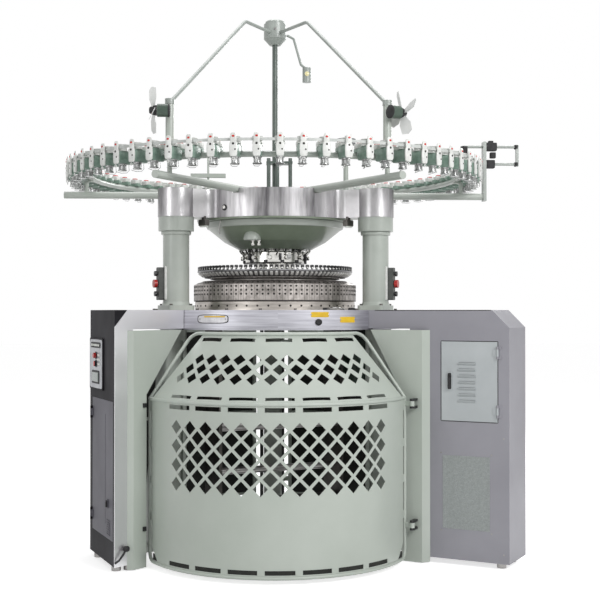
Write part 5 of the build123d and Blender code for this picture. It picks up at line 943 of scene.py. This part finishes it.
# Switch stations and cabinets: folded sheet, powder coated. A pale strip runs down each column
# beside its station and hides the wiring.
station_grey = finish(
    "station_grey", (96, 98, 96), (78, 80, 78), 0.5, mottle=20, tooth=0.0002, tooth_scale=600, gleam=0.2
)
dress(station_grey, "switch_stations")
strip_middles = np.array([[-0.6010, -0.3700, 1.4575], [0.6010, -0.3700, 1.4575]])
strip_directions = np.array(
    [[[0.72, 0.69, 0], [-0.69, 0.72, 0], [0, 0, 1]], [[0.72, -0.69, 0], [0.69, 0.72, 0], [0, 0, 1]]]
)
wiring_strip = rounded(0.016, 0.012, 0.186, plan=0.3, side=0.2)
surface("wiring_strips", [carried(wiring_strip, (strip_middles, strip_directions))], feeder_white)
cabinet_powder = finish(
    "cabinet_powder", (146, 145, 152), (134, 133, 140), 0.42, metallic=0.25, mottle=1.6,
    tooth=0.00025, tooth_scale=420,
)
dress(cabinet_powder, "cabinet_right")


# Right cabinet: woven wire over the fan's vent with a fleece filter behind it, a dark rubber seal
# along the top and round the door, and the door's black swing handle with its lock.
def on_face(along, inward, distance):
    """A maker of places on an upright face. It takes points of run along the face, height and
    distance in front, and gives them in space; the face lies at a distance from the axis."""
    along, inward = np.array(along, float), np.array(inward, float)

    def to_space(points):
        points = np.asarray(points, float)
        flat = points[..., :1] * along + (distance - points[..., 2:]) * inward
        return flat + points[..., 1:2] * upward

    return to_space


cabinet_turn = np.radians(30)
turn_cosine, turn_sine = np.cos(cabinet_turn), np.sin(cabinet_turn)
right_face = on_face((turn_cosine, -turn_sine, 0), (turn_sine, turn_cosine, 0), -0.215)


def flat_on(face, shape, along, height, proud=0.0):
    """A shape laid on a face: its first measure runs along, its second up and its third out."""
    return face(shape + np.array((along, height, proud)))[None]


def straight_paths(begins, ends):
    """Paths of two points each, from where each begins to where it ends."""
    return np.stack((begins, ends), 1)


vent_low, vent_high = 0.190, 0.560
vent_left, vent_right = 1.110, 1.356
wire_overlap = 0.004
level_count, upright_count = 63, 42
level_front, upright_front = 0.0012, 0.0022
wire_height = np.linspace(vent_low, vent_high, level_count)
wire_along = np.linspace(vent_left, vent_right, upright_count)
level = 0 * wire_height
upright = 0 * wire_along
level_wires = straight_paths(
    np.stack((level + vent_left - wire_overlap, wire_height, level + level_front), -1),
    np.stack((level + vent_right + wire_overlap, wire_height, level + level_front), -1),
)
upright_wires = straight_paths(
    np.stack((wire_along, upright + vent_low - wire_overlap, upright + upright_front), -1),
    np.stack((wire_along, upright + vent_high + wire_overlap, upright + upright_front), -1),
)
vent_wire = finish(
    "vent_wire", (196, 201, 200), (160, 165, 164), 0.35, metallic=0.5, mottle=120, tooth=0.0001
)
wire_radius = 0.0009
surface(
    "vent_mesh",
    [bar(right_face(wires), wire_radius, columns=4) for wires in (level_wires, upright_wires)],
    vent_wire,
)
filter_fleece = finish(
    "filter_fleece", (158, 163, 162), (138, 143, 142), 0.8, mottle=90, tooth=0.0004, tooth_scale=700
)
fleece = rounded(0.250, 0.374, 0.0008, plan=0.05, side=0.2)
surface("vent_filter", [flat_on(right_face, fleece, 1.233, 0.375, 0.0004)], filter_fleece)
door_middle_along, door_middle_height = 1.250, 0.9445
top_seal = rounded(0.646, 0.004, 0.002, plan=0.15)
level_seal = rounded(0.306, 0.0030, 0.0016, plan=0.15)
upright_seal = rounded(0.0030, 0.412, 0.0016, plan=0.15)
seal_lift = 0.0004
surface(
    "right_seals",
    [
        flat_on(right_face, top_seal, 1.046, 1.3085, seal_lift),
        flat_on(right_face, level_seal, door_middle_along, 1.1505, seal_lift),
        flat_on(right_face, level_seal, door_middle_along, 0.7385, seal_lift),
        flat_on(right_face, upright_seal, 1.0975, door_middle_height, seal_lift),
        flat_on(right_face, upright_seal, 1.4025, door_middle_height, seal_lift),
    ],
    seam_rubber,
)
handle_along = 1.146
handle_plate = rounded(0.020, 0.084, 0.004)
handle_grip = rounded(0.012, 0.060, 0.010, side=0.4)
handle_lock = rounded(0.014, 0.014, 0.008, plan=1, side=0.3)
surface(
    "door_handle",
    [
        flat_on(right_face, handle_plate, handle_along, door_middle_height, 0.0070),
        flat_on(right_face, handle_grip, handle_along, 0.9370, 0.0130),
        flat_on(right_face, handle_lock, handle_along, 0.9780, 0.0110),
    ],
    seam_rubber,
    "cabinet_door",
)
face_screw = turned([(0, -0.001), (0.0045, -0.001), (0.0042, 0.0018), (0.0022, 0.0028), (0, 0.0028)], 12)
vent_screw_places = [(along, height) for along in (1.098, 1.368) for height in (0.176, 0.574)]
edge_screw_places = [(along, height) for along in (0.965, 1.432) for height in (0.075, 0.660)]
surface(
    "right_face_screws",
    [
        flat_on(right_face, face_screw, along, height)
        for along, height in vent_screw_places + edge_screw_places
    ],
    turned_steel,
)
door_powder = finish(
    "door_powder", (182, 187, 189), (168, 173, 175), 0.42, metallic=0.15, mottle=2.4, tooth=0.0002,
    tooth_scale=420,
)
dress(door_powder, "electrical_door")
cabinet_black = finish(
    "cabinet_black", (42, 41, 45), (30, 29, 32), 0.6, mottle=3, tooth=0.0002, tooth_scale=420, gleam=0.1
)
dress(cabinet_black, "cabinet_left")

# Control panel: an alloy plate screwed to the cabinet's side, with a dark display in a bezel, a row
# of lamps and a field of small keys, and a collar round each red button.
corner_point = np.array((-0.8144, -0.8997, 0.0))
side_run, side_inward = np.array((-0.3665, 0.9304, 0.0)), np.array((0.9304, 0.3665, 0.0))


def left_side(points):
    """Points on the left cabinet's outer side, from run back from its front corner, height and
    distance out of the side."""
    points = np.asarray(points, float)
    flat = corner_point + points[..., :1] * side_run - points[..., 2:] * side_inward
    return flat + points[..., 1:2] * upward


panel_alloy = finish(
    "panel_alloy", (176, 178, 182), (150, 152, 157), 0.34, metallic=0.5, mottle=12, tooth=0.0001
)
panel_middle = 0.350
panel_front = 0.0084
panel_plate = rounded(0.256, 0.254, 0.0016, plan=0.12)
panel_height = 1.029
panel = flat_on(left_side, panel_plate, panel_middle, panel_height, panel_front)
surface("panel_plate", [panel], panel_alloy)
display_height = 0.9600
lamp_row_height = 1.1270
button_along = 0.343
start_height, stop_height = 1.030, 1.073
display_bezel = rounded(0.150, 0.070, 0.006, plan=0.15)
lamp_row_bezel = rounded(0.200, 0.030, 0.004, plan=0.15)
start_collar = turned([(0, -0.001), (0.019, -0.001), (0.019, 0.003), (0, 0.003)], 24)
stop_collar_profile = [
    (0.0155, -0.001), (0.020, -0.001), (0.020, 0.003), (0.0155, 0.003), (0.0155, -0.001),
]
stop_collar = turned(stop_collar_profile, 24)
surface(
    "panel_display_frame",
    [
        flat_on(left_side, display_bezel, panel_middle, display_height, 0.0100),
        flat_on(left_side, lamp_row_bezel, panel_middle, lamp_row_height, 0.0095),
        flat_on(left_side, start_collar, button_along, start_height, panel_front),
        flat_on(left_side, stop_collar, button_along, stop_height, panel_front),
    ],
    seam_rubber,
)
display_green = finish(
    "display_green", (60, 92, 78), (42, 70, 60), 0.15, mottle=20, tooth=0.00003, coat=0.5
)
display = rounded(0.130, 0.050, 0.003, plan=0.1)
surface(
    "panel_display",
    [flat_on(left_side, display, panel_middle, display_height, 0.0125)],
    display_green,
)
key = rounded(0.018, 0.012, 0.005, plan=0.3, columns=12)
key_columns = np.arange(2) * 0.026 + 0.270
key_rows = (1.075, 1.052, 1.029)
lamp_row = np.arange(6) * 0.028 + 0.280
surface(
    "panel_keys",
    [flat_on(left_side, key, along, height, 0.0100) for along in key_columns for height in key_rows]
    + [flat_on(left_side, key, along, lamp_row_height, 0.0118) for along in lamp_row],
    lamp_milk,
)
start_button = rounded(0.0285, 0.0285, 0.004, plan=1, side=0.3)
start_button_front = 0.0205
surface(
    "panel_start",
    [flat_on(left_side, start_button, button_along, start_height, start_button_front)],
    lamp_red,
)
door_grey = finish(
    "door_grey", (104, 103, 111), (92, 91, 98), 0.5, mottle=2.4, tooth=0.0002, tooth_scale=420, gleam=0.15
)
dress(door_grey, "left_door")

# Side door: a black cast latch lever with its lock, and a small field of louvres pressed into the
# sheet near the door's foot.
latch_along = 0.130
latch_lever = rounded(0.012, 0.030, 0.010, side=0.4)
latch_lock = rounded(0.013, 0.013, 0.008, plan=1, side=0.3)
surface(
    "left_latch",
    [
        flat_on(left_side, latch_lever, latch_along, 0.326, 0.0090),
        flat_on(left_side, latch_lock, latch_along, 0.341, 0.0080),
    ],
    seam_rubber,
    "side_door",
)
louvre = rounded(0.070, 0.006, 0.006, plan=0.3, side=0.5, columns=12)
louvre_heights = np.linspace(0.175, 0.245, 7)
surface(
    "left_louvres",
    [flat_on(left_side, louvre, 0.120, height, 0.0010) for height in louvre_heights],
    door_grey,
    "side_door",
)
face_silver = finish(
    "face_silver", (236, 235, 238), (226, 225, 228), 0.3, metallic=0.8, mottle=1.4,
    grain=(1, 1, 0.6), tooth=0.00018, tooth_scale=420,
)
dress(face_silver, "left_face_cover")


# Foot lever: a moulded black knob on a bent steel bar near the foot of the left face, which frees
# the brake.
left_face = on_face((-0.6481, -0.7615, 0), (-0.7615, 0.6481, 0), 0.037)
lever_bar = [(1.149, 0.117, 0.016), (1.172, 0.090, 0.018), (1.196, 0.067, 0.016), (1.212, 0.052, 0.002)]
lever_bar_radius = 0.0055
lever_knob = rounded(0.034, 0.030, 0.026, plan=0.7, side=0.7)
surface(
    "foot_lever",
    [
        bar(left_face(lever_bar), lever_bar_radius),
        flat_on(left_face, lever_knob, lever_bar[0][0], lever_bar[0][1], 0.017),
    ],
    seam_rubber,
)


# Gate, leg covers and rear gates: bent steel rod with punched and rolled sheet welded in, sprayed
# in the machine's pale green.
cover_enamel = finish(
    "cover_enamel", (188, 195, 187), (176, 184, 175), 0.40, mottle=1.5, tooth=0.0003,
    tooth_scale=200, coat=0.15,
)
dress(
    cover_enamel, "leg_covers", "gate_frame", "gate_lower_panel", "gate_upper_panel",
    "rear_gate_left", "rear_gate_right",
)


# Rear gate shade sheets: a near-black, felt-textured sheet inside each rear gate's sheet, painted
# shade that stands in for the dark inside of the machine. It follows the gate's sheet from rib to rib.
painted_shade_black = finish(
    "painted_shade_black", (40, 42, 38), (26, 27, 25), 0.9, mottle=20, tooth=0.0006, tooth_scale=260
)


def curved_sheet(begin, end, inner, outer, low, high, columns=48):
    """A closed curved sheet between two angles, two distances from the axis and two heights: its
    rectangular section is carried round the arc and drawn to a point at both ends."""
    turn = np.linspace(begin, end, columns)
    corners = [(inner, low), (outer, low), (outer, high), (inner, high)]
    rings = np.stack([points_round(turn, radius, height) for radius, height in corners], 1)
    middle = points_round(turn[[0, -1]], (inner + outer) / 2, (low + high) / 2)[:, None]
    ends = np.broadcast_to(middle, (2, 4, 3))
    return np.concatenate((ends[:1], rings, ends[1:]))[None]


shade_sheet_begin, shade_sheet_end = 74.0, 171.5
shade_sheet_inner, shade_sheet_outer = 0.8600, 0.8626
rib_bays = ((0.130, 0.640), (0.660, 1.170))
for side, sign in (("left", -1), ("right", 1)):
    surface(
        "rear_shade_sheet_" + side,
        [
            curved_sheet(sign * shade_sheet_begin, sign * shade_sheet_end, shade_sheet_inner, shade_sheet_outer, low, high)
            for low, high in rib_bays
        ],
        painted_shade_black,
        "gate_rear_" + side,
    )

# Shade strip: a near-black sheet inside the gate's lower panel, behind the slots along its foot,
# painted shade that stands in for the dark inside of the machine.
gate_middle = np.array((0, -0.475, 0))
strip_end = 65.5
strip_inner, strip_outer = 0.6945, 0.6984
strip_low, strip_high = 0.0430, 0.0740
shade_strip = curved_sheet(-strip_end, strip_end, strip_inner, strip_outer, strip_low, strip_high)
surface("gate_shade_strip", [shade_strip + gate_middle], painted_shade_black, "front_gate")
